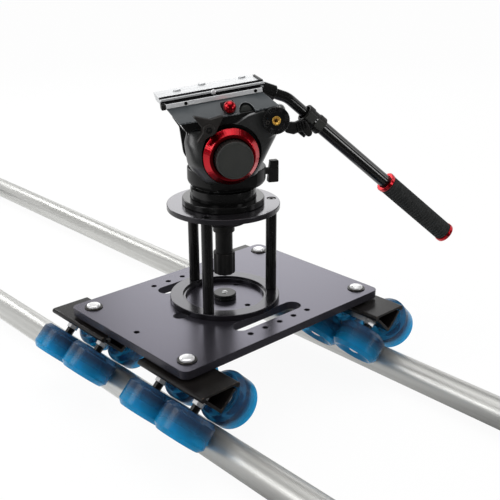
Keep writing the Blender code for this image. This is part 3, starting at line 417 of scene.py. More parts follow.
def loft(rows):
    """A closed skin through rings of points with as many points each, capped at both ends."""
    shape = bmesh.new()
    rings = [[shape.verts.new(point) for point in row] for row in rows]
    for first, second in zip(rings, rings[1:]):
        for k in range(len(first)):
            after = (k + 1) % len(first)
            shape.faces.new((first[k], first[after], second[after], second[k]))
    shape.faces.new(rings[0])
    shape.faces.new(rings[-1])
    return shape


def prism(outline, low, high):
    return loft([[(x, y, z) for x, y in outline] for z in (low, high)])


def block(low, high):
    outline = ((low[0], low[1]), (high[0], low[1]), (high[0], high[1]), (low[0], high[1]))
    return prism(outline, low[2], high[2])


def inward(outline):
    """The unit direction into a well-rounded outline, at each of its points."""
    turns = sum(Vector(outline[k - 1]).cross(Vector(here)) for k, here in enumerate(outline))
    side = 1 if turns > 0 else -1
    ways = []
    for k in range(len(outline)):
        along = (Vector(outline[(k + 1) % len(outline)]) - Vector(outline[k - 1])).normalized()
        ways.append(Vector((-along.y, along.x)) * side)
    return ways


def inset(outline, distance):
    return [(x + way.x * distance, y + way.y * distance) for (x, y), way in zip(outline, inward(outline))]


def pillow(outline, low, high, edge):
    """A prism whose upper edge is rounded over."""
    rows = [[(x, y, low) for x, y in outline]]
    for step in range(PILLOW_STEPS + 1):
        a = pi / 2 * step / PILLOW_STEPS
        height = high - edge + edge * sin(a)
        rows.append([(x, y, height) for x, y in inset(outline, edge * (1 - cos(a)))])
    return loft(rows)


def swept(path, outer, inner, sides=SMALL_SIDES):
    """A tube along points of the XZ plane."""
    shape = bmesh.new()
    loops = {outer: [], inner: []}
    for k, (x, z) in enumerate(path):
        before, after = path[max(k - 1, 0)], path[min(k + 1, len(path) - 1)]
        along = Vector((after[0] - before[0], 0, after[1] - before[1])).normalized()
        across = Vector((-along.z, 0, along.x))
        for radius, rows in loops.items():
            points = [across * px + Vector((x, py, z)) for px, py in circle(radius, sides=sides)]
            rows.append([shape.verts.new(point) for point in points])
    skins = loops[outer] + loops[inner][::-1]
    for first, second in zip(skins, skins[1:] + skins[:1]):
        for k in range(sides):
            after = (k + 1) % sides
            shape.faces.new((first[k], first[after], second[after], second[k]))
    return shape


def merge(shapes):
    """Several bmeshes as one."""
    whole = bmesh.new()
    for shape in shapes:
        scratch = bpy.data.meshes.new("scratch")
        shape.to_mesh(scratch)
        shape.free()
        whole.from_mesh(scratch)
        bpy.data.meshes.remove(scratch)
    return whole


def moved(shape, matrix):
    shape.transform(matrix)
    return shape


def warp(shape, rule):
    """Moves each vertex to the radius and height that the rule gives for its own radius, angle and height."""
    for vertex in shape.verts:
        x, y, z = vertex.co
        radius, angle = hypot(x, y), atan2(y, x)
        radius, z = rule(radius, angle, z)
        vertex.co = (radius * cos(angle), radius * sin(angle), z)
    return shape


def wave(angle, count):
    """0 to 1 and back, count times round."""
    return (1 - cos(angle * count)) / 2


def fluted(shape, count, depth, beyond, below=inf):
    """Presses flutes into what lies beyond a radius, and below a height if one is given."""
    def rule(radius, angle, height):
        if radius > beyond and height < below:
            radius -= depth * wave(angle, count)
        return radius, height
    return warp(shape, rule)


def hexed(shape, radius):
    """Draws a round recess of that radius into a hexagon."""
    def rule(r, a, z):
        turn = (a % (pi / 3)) - pi / 6
        return (r * cos(pi / 6) / cos(turn) if 0 < r <= radius + 1e-6 else r), z
    return warp(shape, rule)


def socket_screw(radius, low, high):
    """A round screw head with a hexagonal socket."""
    socket, edge = radius * 0.55, radius * 0.15
    depth = (high - low) * 0.6
    profile = [(0, high - depth), (socket, high - depth), (socket, high)]
    profile += rounded([(socket, high, 0), (radius, high, edge), (radius, low, 0), (0, low, 0)])[1:]
    return hexed(turned(profile, SMALL_SIDES), socket)


def hexagon(radius, low, high):
    """A bolt head or nut with chamfered rims."""
    edge = radius * 0.14
    return turned(((0, low), (radius - edge, low), (radius, low + edge / 2), (radius, high - edge / 2),
                   (radius - edge, high), (0, high)), HEX)


def rod(radius, low, high, sides=SIDES, foot=0, head=0):
    """A plain round bar. foot and head are the fillets of its ends."""
    return lathe([(0, low, 0), (radius, low, foot), (radius, high, head), (0, high, 0)], sides)


def ring(outer, inner, low, high, sides=SIDES, foot=0, head=0, bore=0):
    """A plain tube. foot and head are the fillets of its outer rims, and bore that of its inner ones."""
    return lathe([(outer, low, foot), (outer, high, head), (inner, high, bore), (inner, low, bore)], sides)


def rectangle(half_x, half_y, corner):
    return rounded([(x * half_x, y * half_y, corner) for x, y in ((-1, -1), (1, -1), (1, 1), (-1, 1))])


def shift(x=0, y=0, z=0):
    """A move of a shape, in millimetres."""
    return Matrix.Translation((x, y, z))


def repeat(seats, draw, *sizes):
    """The same shape at several seats, as one."""
    return merge([moved(draw(*sizes), seat) for seat in seats])


def both_sides(along, across, upward):
    """A block on each side of the XZ plane, as one, from its spans in X, in Y and in Z."""
    blocks = []
    for side in (-1, 1):
        first, last = sorted(side * y for y in across)
        blocks.append(block((along[0], first, upward[0]), (along[1], last, upward[1])))
    return merge(blocks)


def at(x=0, y=0, z=0):
    """A move of a piece in metres, from millimetres."""
    return Matrix.Translation(Vector((x, y, z)) * MM)


def axes(origin, x_axis, y_axis):
    """A frame from its origin, in metres, and two of its axes."""
    x, y = Vector(x_axis).normalized(), Vector(y_axis).normalized()
    place = Matrix((x, y, x.cross(y))).transposed().to_4x4()
    place.translation = origin
    return place


def add_object(name, data):
    """A new object in the scene."""
    item = bpy.data.objects.new(name, data)
    bpy.context.scene.collection.objects.link(item)
    return item


def settle(item):
    """Turns a piece's modifiers into its own mesh."""
    depsgraph = bpy.context.evaluated_depsgraph_get()
    mesh = bpy.data.meshes.new_from_object(item.evaluated_get(depsgraph))
    item.modifiers.clear()
    item.data = mesh


def solid(name, shape):
    """An object from a bmesh in millimetres."""
    mesh = bpy.data.meshes.new(name)
    bmesh.ops.remove_doubles(shape, verts=shape.verts, dist=0.001)
    bmesh.ops.recalc_face_normals(shape, faces=shape.faces)
    shape.transform(Matrix.Scale(MM, 4))
    shape.to_mesh(mesh)
    shape.free()
    return add_object(name, mesh)


def piece(name, shape, look, body, place, nodes=(), edge=0, cuts=()):
    """One piece: drawn, cut, its edges softened, given its finish, placed, and set riding on its body."""
    item = solid(name, shape)
    for cutter in cuts:
        tool = solid(f"{name}_tool", cutter)
        modifier = item.modifiers.new("cut", "BOOLEAN")
        modifier.operation = "DIFFERENCE"
        modifier.object = tool
        settle(item)
        bpy.data.objects.remove(tool)
    if edge:
        modifier = item.modifiers.new("edge", "BEVEL")
        modifier.width = edge * MM
        modifier.segments = EDGE_STEPS
        modifier.limit_method = "ANGLE"
        modifier.angle_limit = SHARP
        settle(item)
    item.data.name = name
    item.data.shade_smooth()
    item.data.set_sharp_from_angle(angle=SHARP)
    item.modifiers.new("flat faces", "WEIGHTED_NORMAL").keep_sharp = True
    settle(item)
    item.data.materials.clear()
    return dress(item, look, body, place, nodes)


def dress(item, look, body, place, nodes):
    """Finish, place, body and the CAD nodes that a piece stands for."""
    material, slot = LOOKS[look]
    if not item.data.materials:
        item.data.materials.append(material)
    item.matrix_world = place
    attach(item, body)
    if nodes:
        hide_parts(*nodes)
    return item


def copy(source, name, look, body, place, nodes=()):
    """Another piece with the same mesh."""
    return dress(add_object(name, source.data), look, body, place, nodes)


class Graph:
    """The shader nodes of one material or world."""

    def __init__(self, owner):
        owner.use_nodes = True
        self.nodes, self.links = owner.node_tree.nodes, owner.node_tree.links

    def feed(self, socket, source):
        """Links an output to a socket, or writes a plain value on it."""
        if isinstance(source, bpy.types.NodeSocket):
            self.links.new(source, socket)
        else:
            socket.default_value = source

    def add(self, kind, output, inputs=(), **settings):
        """One output of a new node, which is fed from pairs of a socket's name or number and its source."""
        node = self.nodes.new(f"ShaderNode{kind}")
        for name, value in settings.items():
            setattr(node, name, value)
        for name, source in inputs:
            self.feed(node.inputs[name], source)
        return node.outputs[output]

    def span(self, value, low, high, first=0, last=1, **settings):
        """The value mapped from low and high to first and last."""
        return self.add("MapRange", "Result", (("Value", value), ("From Min", low), ("From Max", high),
                                               ("To Min", first), ("To Max", last)), **settings)

    def math(self, operation, first, second):
        return self.add("Math", "Value", ((0, first), (1, second)), operation=operation)

    def dot(self, first, second):
        return self.add("VectorMath", "Value", ((0, first), (1, second)), operation="DOT_PRODUCT")

    def mixed(self, factor, first, second):
        """A colour between two, each a socket or three numbers."""
        first, second = [(*colour, 1) if isinstance(colour, tuple) else colour for colour in (first, second)]
        return self.add("Mix", 2, (("Factor", factor), (6, first), (7, second)), data_type="RGBA")

    def noise(self, where, size, detail):
        """Noise with patches of that size, in millimetres."""
        scale = 1 / (size * MM)
        return self.add("TexNoise", "Fac", (("Vector", where), ("Scale", scale), ("Detail", detail)))

    def seen_by(self, *kinds):
        """1 for rays of those kinds, else 0."""
        seen, *others = [self.add("LightPath", kind) for kind in kinds]
        for other in others:
            seen = self.math("MAXIMUM", seen, other)
        return seen


def make_look(name, slot, colour, tint, rough, metallic=0.0, grain=0.5, mottle=25, stretch=(1, 1, 1),
              bump=0.2, depth=0.05, worn=None, polish=None, lip=None, **sockets):
    """A procedural finish: two tints in broad patches, fine grain in gloss and relief, and lighter edges for
    wear, with painted light where the settings below say so.

    grain and mottle are sizes in millimetres, and depth is the grain's height. worn is the colour
    of edges that show wear, their width in millimetres and how much of them shows it; on the trucks its brown
    also paints a highlight along their edges. polish is a painted sheen, the shine of the sides and of
    faces that look up, so that faces that look up reflect more. lip is a colour that comes in between two
    heights along Z, in millimetres; on the wheels it is a painted glow of light shining through them,
    brighter blue towards their face away from the truck.
    """
    material = bpy.data.materials.new(name)
    graph = Graph(material)
    shader = graph.nodes["Principled BSDF"].inputs
    shader["Metallic"].default_value = metallic
    for socket, value in sockets.items():
        shader[socket.replace("_", " ")].default_value = value
    where = graph.add("TexCoord", "Object")
    grid = graph.add("Mapping", "Vector", (("Vector", where), ("Scale", stretch)))
    fine = graph.noise(grid, grain, 5)
    base = graph.mixed(graph.span(graph.noise(grid, mottle, 3), 0.35, 0.65), colour, tint)
    # Painted sheen: faces that look up get a higher specular level than the sides.
    if polish:
        upward = graph.add("SeparateXYZ", "Z", (("Vector", graph.add("TexCoord", "Normal")),))
        graph.feed(shader["Specular IOR Level"], graph.span(upward, 0.6, 0.95, *polish))
    # Painted glow: on the wheels this brighter blue towards the face away from the truck stands in for light
    # shining through.
    if lip:
        rim, start, end = lip
        height = graph.add("SeparateXYZ", "Z", (("Vector", where),))
        base = graph.mixed(graph.span(height, start * MM, end * MM), base, rim)
    # Lighter edges for wear; on the trucks their brown also paints a highlight along the edges.
    if worn:
        wear_and_glint_colour, width, share = worn
        softened = graph.add("Bevel", "Normal", (("Radius", width * MM),))
        flat = graph.span(graph.dot(softened, graph.add("NewGeometry", "Normal")), 0.995, 0.93)
        patchy = graph.span(graph.noise(grid, mottle / 6, 4), 0.62 - share, 0.72 - share)
        base = graph.mixed(graph.math("MULTIPLY", flat, patchy), base, wear_and_glint_colour)
    relief = graph.add("Bump", "Normal", (("Strength", bump), ("Distance", depth * MM), ("Height", fine)))
    graph.feed(shader["Base Color"], base)
    graph.feed(shader["Roughness"], graph.span(fine, 0.3, 0.7, *rough))
    graph.feed(shader["Normal"], relief)
    return material, slot


def make_looks():
    """Every finish of the object, by name: its slot, two tints, range of roughness and other settings."""
    grey_edge = (0.11, 0.105, 0.11)
    dark_edge = (0.1, 0.1, 0.1)
    rolled = dict(metallic=0.45, grain=0.3, mottle=5, stretch=(0.05, 1, 1), bump=0.25, depth=0.02)
    turned_black = dict(grain=0.3, mottle=40, bump=0.06, depth=0.015, worn=(grey_edge, 0.5, 0.05),
                        # Painted sheen on faces that look up.
                        polish=(0.1, 0.5), Specular_Tint=(0.93, 0.91, 1, 1))
    glossy = dict(grain=0.4, bump=0.05, depth=0.015, worn=(grey_edge, 0.5, 0.03))
    finishes = {
        "tube": ("galvanised_tube", (0.66, 0.66, 0.64), (0.5, 0.5, 0.48), (0.32, 0.46),
                 dict(metallic=0.75, grain=0.8, mottle=9, stretch=(1, 1, 0.02), bump=0.25, depth=0.03)),
        "tie": ("dark_tie", (0.02, 0.02, 0.022), (0.03, 0.03, 0.031), (0.45, 0.6),
                dict(grain=0.9, bump=0.35, worn=(grey_edge, 0.8, 0.1), Specular_IOR_Level=0.2)),
        "deck": ("black_anodised", (0.014, 0.013, 0.016), (0.018, 0.017, 0.021), (0.24, 0.3),
                 dict(grain=0.35, mottle=60, bump=0.1, depth=0.015, worn=(grey_edge, 0.6, 0.05), IOR=2.1,
                      # Painted sheen on the deck's top face.
                      polish=(0.1, 0.5), Specular_Tint=(0.82, 0.78, 1, 1))),
        "truck": ("black_anodised", (0.006, 0.005, 0.005), (0.01, 0.009, 0.008), (0.24, 0.36),
                  # Brown edges: wear, and a painted highlight along the trucks' hem edges.
                  dict(bump=0.15, worn=((0.16, 0.12, 0.09), 0.7, 0.1), Specular_IOR_Level=0.25)),
        "gloss": ("black_anodised", (0.005, 0.005, 0.005), (0.008, 0.008, 0.008), (0.12, 0.18),
                  dict(Specular_IOR_Level=0.25, **glossy)),
        "riser": ("black_anodised", (0.01, 0.01, 0.011), (0.015, 0.014, 0.016), (0.15, 0.2),
                  dict(IOR=2.1, **turned_black)),
        "base": ("black_anodised", (0.006, 0.006, 0.007), (0.01, 0.009, 0.011), (0.15, 0.2),
                 dict(IOR=1.75, **turned_black)),
        "steel": ("bright_steel", (0.88, 0.88, 0.88), (0.78, 0.78, 0.79), (0.2, 0.34),
                  dict(metallic=0.5, grain=0.3, mottle=6, bump=0.1, depth=0.02)),
        "urethane": ("blue_urethane", (0.034, 0.075, 0.15), (0.04, 0.085, 0.17), (0.2, 0.26),
                     # The lighter blue towards the wheels' outer face is a painted glow of light shining
                     # through them.
                     dict(grain=4, mottle=14, bump=0.02, depth=0.04, lip=((0.0, 0.42, 0.85), 6, -14),
                          Transmission_Weight=0.6, IOR=1.35, Specular_IOR_Level=0.1)),
        "cheek": ("dark_grey_casting", (0.007, 0.008, 0.008), (0.011, 0.012, 0.012), (0.26, 0.34),
                  dict(grain=0.7, bump=0.1, worn=(dark_edge, 0.6, 0.05), IOR=2.1)),
        "casting": ("dark_grey_casting", (0.006, 0.006, 0.006), (0.009, 0.009, 0.009), (0.3, 0.4),
                    dict(grain=0.7, bump=0.15, worn=((0.08, 0.08, 0.08), 0.6, 0.05),
                         Specular_IOR_Level=0.14)),
        "bar": ("black_anodised", (0.004, 0.004, 0.004), (0.006, 0.006, 0.006), (0.12, 0.18),
                dict(IOR=1.6, **glossy)),
        "saddle": ("dark_grey_casting", (0.042, 0.05, 0.055), (0.05, 0.058, 0.064), (0.36, 0.48),
                   dict(grain=0.6, bump=0.25, worn=((0.3, 0.31, 0.32), 0.9, 0.2), Specular_IOR_Level=0.4)),
        "silver": ("silver_aluminium", (0.8, 0.81, 0.82), (0.7, 0.71, 0.72), (0.3, 0.45), rolled),
        "plate": ("silver_aluminium", (0.6, 0.61, 0.62), (0.52, 0.53, 0.54), (0.3, 0.45), rolled),
        "red": ("red_anodised", (0.5, 0.004, 0.014), (0.44, 0.002, 0.01), (0.24, 0.32),
                dict(metallic=1.0, grain=0.4, bump=0.08, depth=0.02, Coat_Weight=0.4, Coat_Roughness=0.1)),
        "knob": ("black_rubber", (0.009, 0.009, 0.009), (0.014, 0.013, 0.012), (0.36, 0.5),
                 dict(bump=0.25, worn=((0.06, 0.06, 0.06), 0.5, 0.06), Specular_IOR_Level=0.2)),
        "strip": ("black_rubber", (0.006, 0.006, 0.007), (0.01, 0.01, 0.011), (0.8, 0.95),
                  dict(grain=0.6, Specular_IOR_Level=0.02)),
        "lever": ("black_rubber", (0.015, 0.013, 0.012), (0.022, 0.019, 0.017), (0.34, 0.46),
                  dict(worn=(dark_edge, 0.5, 0.06), Specular_IOR_Level=0.4)),
        "cap": ("black_anodised", (0.03, 0.032, 0.03), (0.036, 0.037, 0.034), (0.42, 0.55),
                dict(grain=0.4, worn=(dark_edge, 0.5, 0.06), Specular_IOR_Level=0.2)),
        "foam": ("grip_foam", (0.018, 0.019, 0.019), (0.027, 0.028, 0.028), (0.7, 0.9),
                 dict(grain=0.9, mottle=6, bump=0.8, depth=0.25, Specular_IOR_Level=0.2)),
        "brass": (None, (0.9, 0.55, 0.12), (0.78, 0.44, 0.08), (0.2, 0.32),
                  dict(metallic=0.7, grain=0.3, mottle=3, bump=0.1, depth=0.02)),
    }
    return {name: make_look(name, *tints, **settings) for name, (*tints, settings) in finishes.items()}


LOOKS = make_looks()
deck_low, deck_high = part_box("deck_plate")
CARRIAGE = Matrix.Translation(((deck_low.x + deck_high.x) / 2, (deck_low.y + deck_high.y) / 2, deck_high.z))
riser_low, riser_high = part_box("riser_base")
RISER = Matrix.Translation(((riser_low.x + riser_high.x) / 2, (riser_low.y + riser_high.y) / 2, deck_high.z))
BALL = Matrix.Translation(JOINTS["pan_turn"]["pos_m"])
NEAR = Vector(JOINTS["tilt_turn"]["axis"])
PAN = axes(JOINTS["pan_turn"]["pos_m"], (-NEAR.y, NEAR.x, 0), -NEAR)
TILT = axes(JOINTS["tilt_turn"]["pos_m"], -Vector(JOINTS["camera_plate_slide"]["axis"]), -NEAR)
BAR = axes(JOINTS["bar_angle"]["pos_m"], JOINTS["bar_extend"]["axis"], -NEAR)


def make_track():
    """Two tubes, and a tie with rubber pads and two screws across each end."""
    for node in ("rail_front", "rail_back"):
        low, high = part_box(node)
        length = (high.x - low.x) / MM
        tube = ring(RAIL_RADIUS, RAIL_BORE, 0, length, RAIL_SIDES, RAIL_CHAMFER, RAIL_CHAMFER,
                    RAIL_CHAMFER / 2)
        middle = (low + high) / 2
        place = Matrix.Translation((low.x, middle.y, middle.z)) @ FACING_BACK
        piece(f"{node}_tube", tube, "tube", "track", place, [node])
    start, end = [corner.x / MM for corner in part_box("rail_front")]
    section = rounded([(-TIE_HALF, PAD_HEIGHT - GAP, TIE_EDGE), (TIE_HALF, PAD_HEIGHT - GAP, TIE_EDGE),
                       (TIE_HALF, TIE_HEIGHT, TIE_CROWN), (-TIE_HALF, TIE_HEIGHT, TIE_CROWN)])
    radius, depth = TIE_BORE
    for node, end_x, outward in (("end_tie_far", start, -1), ("end_tie_near", end, 1)):
        place = at(end_x + outward * (TIE_HALF + GAP))
        turn = Matrix.Rotation(outward * pi / 2, 4, "Y")
        floor = outward * (TIE_HALF - depth)
        seats = [shift(floor, side * RAIL_GAUGE / 2, RAIL_Z) @ turn for side in (-1, 1)]
        bar = moved(prism(section, -TIE_REACH, TIE_REACH), FACING_NEAR)
        bores = repeat(seats, rod, radius, 0, 2 * depth)
        piece(f"{node}_bar", bar, "tie", "track", place, [node], TIE_EDGE, [bores])
        screws = repeat(seats, socket_screw, TIE_SCREW[0], 0, TIE_SCREW[1])
        piece(f"{node}_screws", screws, "steel", "track", place)
        feet = [shift(0, side * PAD_AT) for side in (-1, 1)]
        pads = repeat(feet, prism, rectangle(*PAD_SIZE, TIE_CROWN), 0, PAD_HEIGHT)
        piece(f"{node}_pads", pads, "knob", "track", place, edge=GAP)


def truck_places():
    """Name, X and Y of each truck's middle on the carriage."""
    for end, x in (("far", -TRUCK_SPACING / 2), ("near", TRUCK_SPACING / 2)):
        for row, y in (("front", -RAIL_GAUGE / 2), ("back", RAIL_GAUGE / 2)):
            yield f"{end}_{row}", x, y


def wheel_places():
    """Name, X offset and side of each wheel on a truck."""
    for end, x in (("a", -WHEEL_SPACING / 2), ("b", WHEEL_SPACING / 2)):
        for name, side in (("left", -1), ("right", 1)):
            yield f"{name}_{end}", x - side * WHEEL_STAGGER, side


def wheel_matrix(offset, side):
    """Wheel's place over the tube's axis, with local Z along the axle towards the angle."""
    rise = (WHEEL_RADIUS + RAIL_RADIUS + GAP) / sqrt(2)
    return at(offset, side * rise, rise) @ Matrix.Rotation(side * pi / 4, 4, "X")


def make_deck():
    """The plate with its two rows of holes, its spare holes and its slots."""
    middle = (DECK_ROW_HOLES - 1) / 2
    row = [DECK_HOLE_PITCH * (k - middle) for k in range(DECK_ROW_HOLES)]
    holes = [(x, y) for x in (-DECK_ROW, DECK_ROW) for y in row]
    outlines = [circle(DECK_HOLE, x, y) for x, y in (*holes, *DECK_OTHER_HOLES)]
    x, y, half = SIDE_SLOT
    outlines += [slot_outline((side * x, -y), (side * x, y), half) for side in (-1, 1)]
    start, end, half = RISER_SLOT
    outlines.append(slot_outline((0, -start), (0, -end), half))
    cutters = merge([prism(outline, -2 * DECK_THICKNESS, DECK_THICKNESS) for outline in outlines])
    plate = prism(rectangle(*DECK_HALF, DECK_CORNER), -DECK_THICKNESS, 0)
    piece("deck", plate, "deck", "carriage", CARRIAGE, ["deck_plate"], DECK_EDGE, [cutters])


def wheel_tyre():
    hub = HUB_HALF + HUB_PROUD
    upper = [(WHEEL_RADIUS, WHEEL_TREAD, 1.3), (WHEEL_LIP, WHEEL_HALF, 1.6),
             (WHEEL_DISH, WHEEL_HALF - DISH_DROP, 1.6), (HUB_RADIUS + HUB_WALL, hub, 1.2),
             (HUB_RADIUS, hub, 0)]
    lower = [(r, -h, fillet) for r, h, fillet in upper[::-1]]
    return lathe(lower + upper, WHEEL_SIDES)


def wheel_bearing():
    """A shielded ball bearing at each face of the hub."""
    bore, rim = AXLE_RADIUS + GAP, HUB_RADIUS - BEARING_FIT
    inner, outer, depth = BEARING_SHIELD
    face, shield = HUB_HALF, HUB_HALF - depth
    profile = [(bore, BEARING_INNER, 0), (rim, BEARING_INNER, 0), (rim, face, 0.4),
               (outer + BEARING_SLOPE, face, 0.2), (outer, shield, 0), (inner, shield, 0),
               (inner - BEARING_SLOPE, face, 0.2), (bore, face, 0.3)]
    return merge([lathe([(r, side * h, fillet) for r, h, fillet in profile], 2 * SMALL_SIDES)
                  for side in (-1, 1)])


def axle_bolt():
    """Bolt, washers and nuts of one wheel."""
    face = HUB_HALF + GAP
    inside = ANGLE_REACH + ANGLE_WALL
    outside = ANGLE_REACH - AXLE_WASHER
    shapes = [rod(AXLE_RADIUS, -face - AXLE_END, inside, SMALL_SIDES, 0.6)]
    for low in (-face - AXLE_WASHER, outside):
        shapes.append(rod(AXLE_NUT, low, low + AXLE_WASHER, SMALL_SIDES, GAP, GAP))
    for low, high in ((-face - AXLE_END + GAP, -face - AXLE_WASHER),
                      (outside - AXLE_WASHER - AXLE_END, outside), (inside, inside + AXLE_END)):
        shapes.append(hexagon(AXLE_NUT, low, high))
    return merge(shapes)


def axle_spacer():
    end = ANGLE_REACH - 2 * AXLE_WASHER - AXLE_END
    return ring(SPACER_RADIUS, AXLE_RADIUS, HUB_HALF + GAP, end, SMALL_SIDES, 0.4, 0.4)


def truck_angle():
    """The V of angle, about the tube's axis."""
    rise = HEM_LOW - VERTEX
    wall = ANGLE_WALL * sqrt(2)
    section = rounded([(0, VERTEX, 2.2), (rise, HEM_LOW, 0.5), (rise - wall, HEM_LOW, 0.3),
                       (0, VERTEX + wall, 1), (wall - rise, HEM_LOW, 0.3), (-rise, HEM_LOW, 0.5)])
    return moved(prism(section, -TRUCK_HALF, TRUCK_HALF), ALONG)


def truck_cap():
    """The cap on the V, with its rolled edges."""
    half, roll = ANGLE_RISE + HEM_OVERHANG, HEM_RADIUS - 0.1
    hem = half - 2 * HEM_RADIUS
    section = rounded([(-half, HEM_LOW, roll), (-hem, HEM_LOW, roll), (-hem, CAP_BASE, 0.3),
                       (hem, CAP_BASE, 0.3), (hem, HEM_LOW, roll), (half, HEM_LOW, roll),
                       (half, CAP_CROWN, roll), (-half, CAP_CROWN, roll)])
    return moved(prism(section, -TRUCK_HALF, TRUCK_HALF), ALONG)


def pivot_bolt():
    """Domed head, shank and nut, from the deck's top."""
    radius, height = PIVOT_HEAD
    low = GAP + PIVOT_WASHER[1]
    high = low + height
    head = lathe([(0, low, 0), (radius, low, 0.3), (radius - 0.3, high - 1, 1), (radius - 2.5, high, 2),
                  (0, high + 0.3, 0)])
    nut, thick = PIVOT_NUT
    under = -DECK_THICKNESS - PIVOT_PACKER - TRUCK_CAP - 3 * GAP
    shank = rod(PIVOT_SHANK, under - thick, GAP, SMALL_SIDES)
    return merge([head, shank, hexagon(nut, under - thick, under)])


def pivot_washers():
    """One on the deck, and a thicker one between the deck and the truck."""
    radius, thick = PIVOT_WASHER
    under = -DECK_THICKNESS - GAP
    return merge([ring(radius, PIVOT_SHANK, low, high, SIDES, 0.4, 0.4)
                  for low, high in ((GAP, GAP + thick), (under - PIVOT_PACKER, under))])


def make_trucks():
    """Four trucks, each with its pivot bolt and four wheels."""
    first = {}

    def part(kind, end, draw, look, body, place, nodes=(), edge=0):
        """One piece, which shares its mesh with the first of its kind."""
        if kind in first:
            copy(first[kind], f"{kind}_{end}", look, body, place, nodes)
        else:
            first[kind] = piece(f"{kind}_{end}", draw(), look, body, place, nodes, edge)

    for name, x, y in truck_places():
        place = CARRIAGE @ at(x, y, RAIL_Z - deck_high.z / MM)
        top = CARRIAGE @ at(x, y)
        part("truck_angle", name, truck_angle, "truck", "carriage", place, [f"truck_{name}"], TRUCK_EDGE)
        part("truck_cap", name, truck_cap, "truck", "carriage", place, [], CAP_EDGE)
        part("pivot_head", name, pivot_bolt, "steel", "carriage", top, [f"pivot_bolt_{name}"], PIVOT_EDGE)
        part("pivot_washers", name, pivot_washers, "truck", "carriage", top)
        for wheel, offset, side in wheel_places():
            end = f"{name}_{wheel}"
            body = f"wheel_{end}"
            where = place @ wheel_matrix(offset, side)
            part("tyre", end, wheel_tyre, "urethane", body, where, [body])
            part("bearing", end, wheel_bearing, "steel", body, where)
            part("axle", end, axle_bolt, "steel", "carriage", where)
            part("spacer", end, axle_spacer, "gloss", "carriage", where)


def make_riser():
    """Base ring, posts, top plate with the posts' screws, and the knurled knob in the middle."""
    radius, step = RISER_RADIUS, RISER_STEP
    base = lathe([(radius, GAP, 0.6), (radius, BASE_HEIGHT, 1), (step[0], BASE_HEIGHT, 0.5),
                  (step[0], step[1], 0.3), (RISER_BORE, step[1], 0.4), (RISER_BORE, GAP, 0)], 2 * SIDES)
    piece("riser_base_ring", base, "base", "carriage", RISER, ["riser_base"])
    bore = BOWL_BODY + GAP
    top = lathe([(radius, 0, 0.6), (radius, TOP_HEIGHT, 1), (bore, TOP_HEIGHT, 0.4), (bore, 0, 0)], 2 * SIDES)
    seats = [shift(POST_CIRCLE * cos(radians(a)), POST_CIRCLE * sin(radians(a))) for a in POST_ANGLES]
    depth, flare = POST_SINK
    floor, mouth = TOP_HEIGHT - depth, POST_SCREW + flare
    sink = ((0, floor), (POST_SCREW, floor), (mouth, TOP_HEIGHT + 0.2), (mouth, TOP_HEIGHT + 1),
            (0, TOP_HEIGHT + 1))
    sinks = repeat(seats, turned, sink, SMALL_SIDES)
    above = RISER @ at(z=TOP_BASE)
    piece("riser_top_plate", top, "riser", "carriage", above, ["riser_top"], 0, [sinks])
    screws = repeat(seats, socket_screw, POST_SCREW - 0.2, floor, TOP_HEIGHT - 0.6)
    piece("riser_post_screws", screws, "gloss", "carriage", above)
    for number, seat in enumerate(seats, 1):
        post = rod(POST_RADIUS, POST_FOOT, POST_TOP, 2 * SMALL_SIDES, 0.5, 0.5)
        place = RISER @ at(*seat.translation)
        piece(f"riser_post_{number}_rod", post, "gloss", "carriage", place, [f"riser_post_{number}"])

    low, high, depth = KNOB_GROOVE
    neck = KNOB_RADIUS - depth
    dome, rise = KNOB_DOME
    sunk = KNOB_TOP - GAP
    knob = lathe([(0, GAP, 0), (KNOB_RADIUS, GAP, 0.5), (KNOB_RADIUS, low, 0.5), (neck, low + 0.2, 0),
                  (neck, high - 0.2, 0), (KNOB_RADIUS, high, 0.5), (KNOB_RADIUS, KNOB_TOP, 1.2),
                  (dome + 0.5, KNOB_TOP, 0), (0, sunk, 0)], 4 * SMALL_SIDES)
    fluted(knob, SMALL_SIDES, KNURL, KNOB_RADIUS - 0.8)
    piece("centre_knob", knob, "gloss", "carriage", RISER, ["centre_bolt"])
    base = KNOB_TOP - 0.2
    curve = [(dome * cos(radians(a)), base + rise * sin(radians(a))) for a in range(0, 90, 15)]
    screw = turned([(0, sunk), (dome, sunk)] + curve + [(0, base + rise)], SMALL_SIDES)
    piece("centre_screw", screw, "steel", "carriage", RISER)


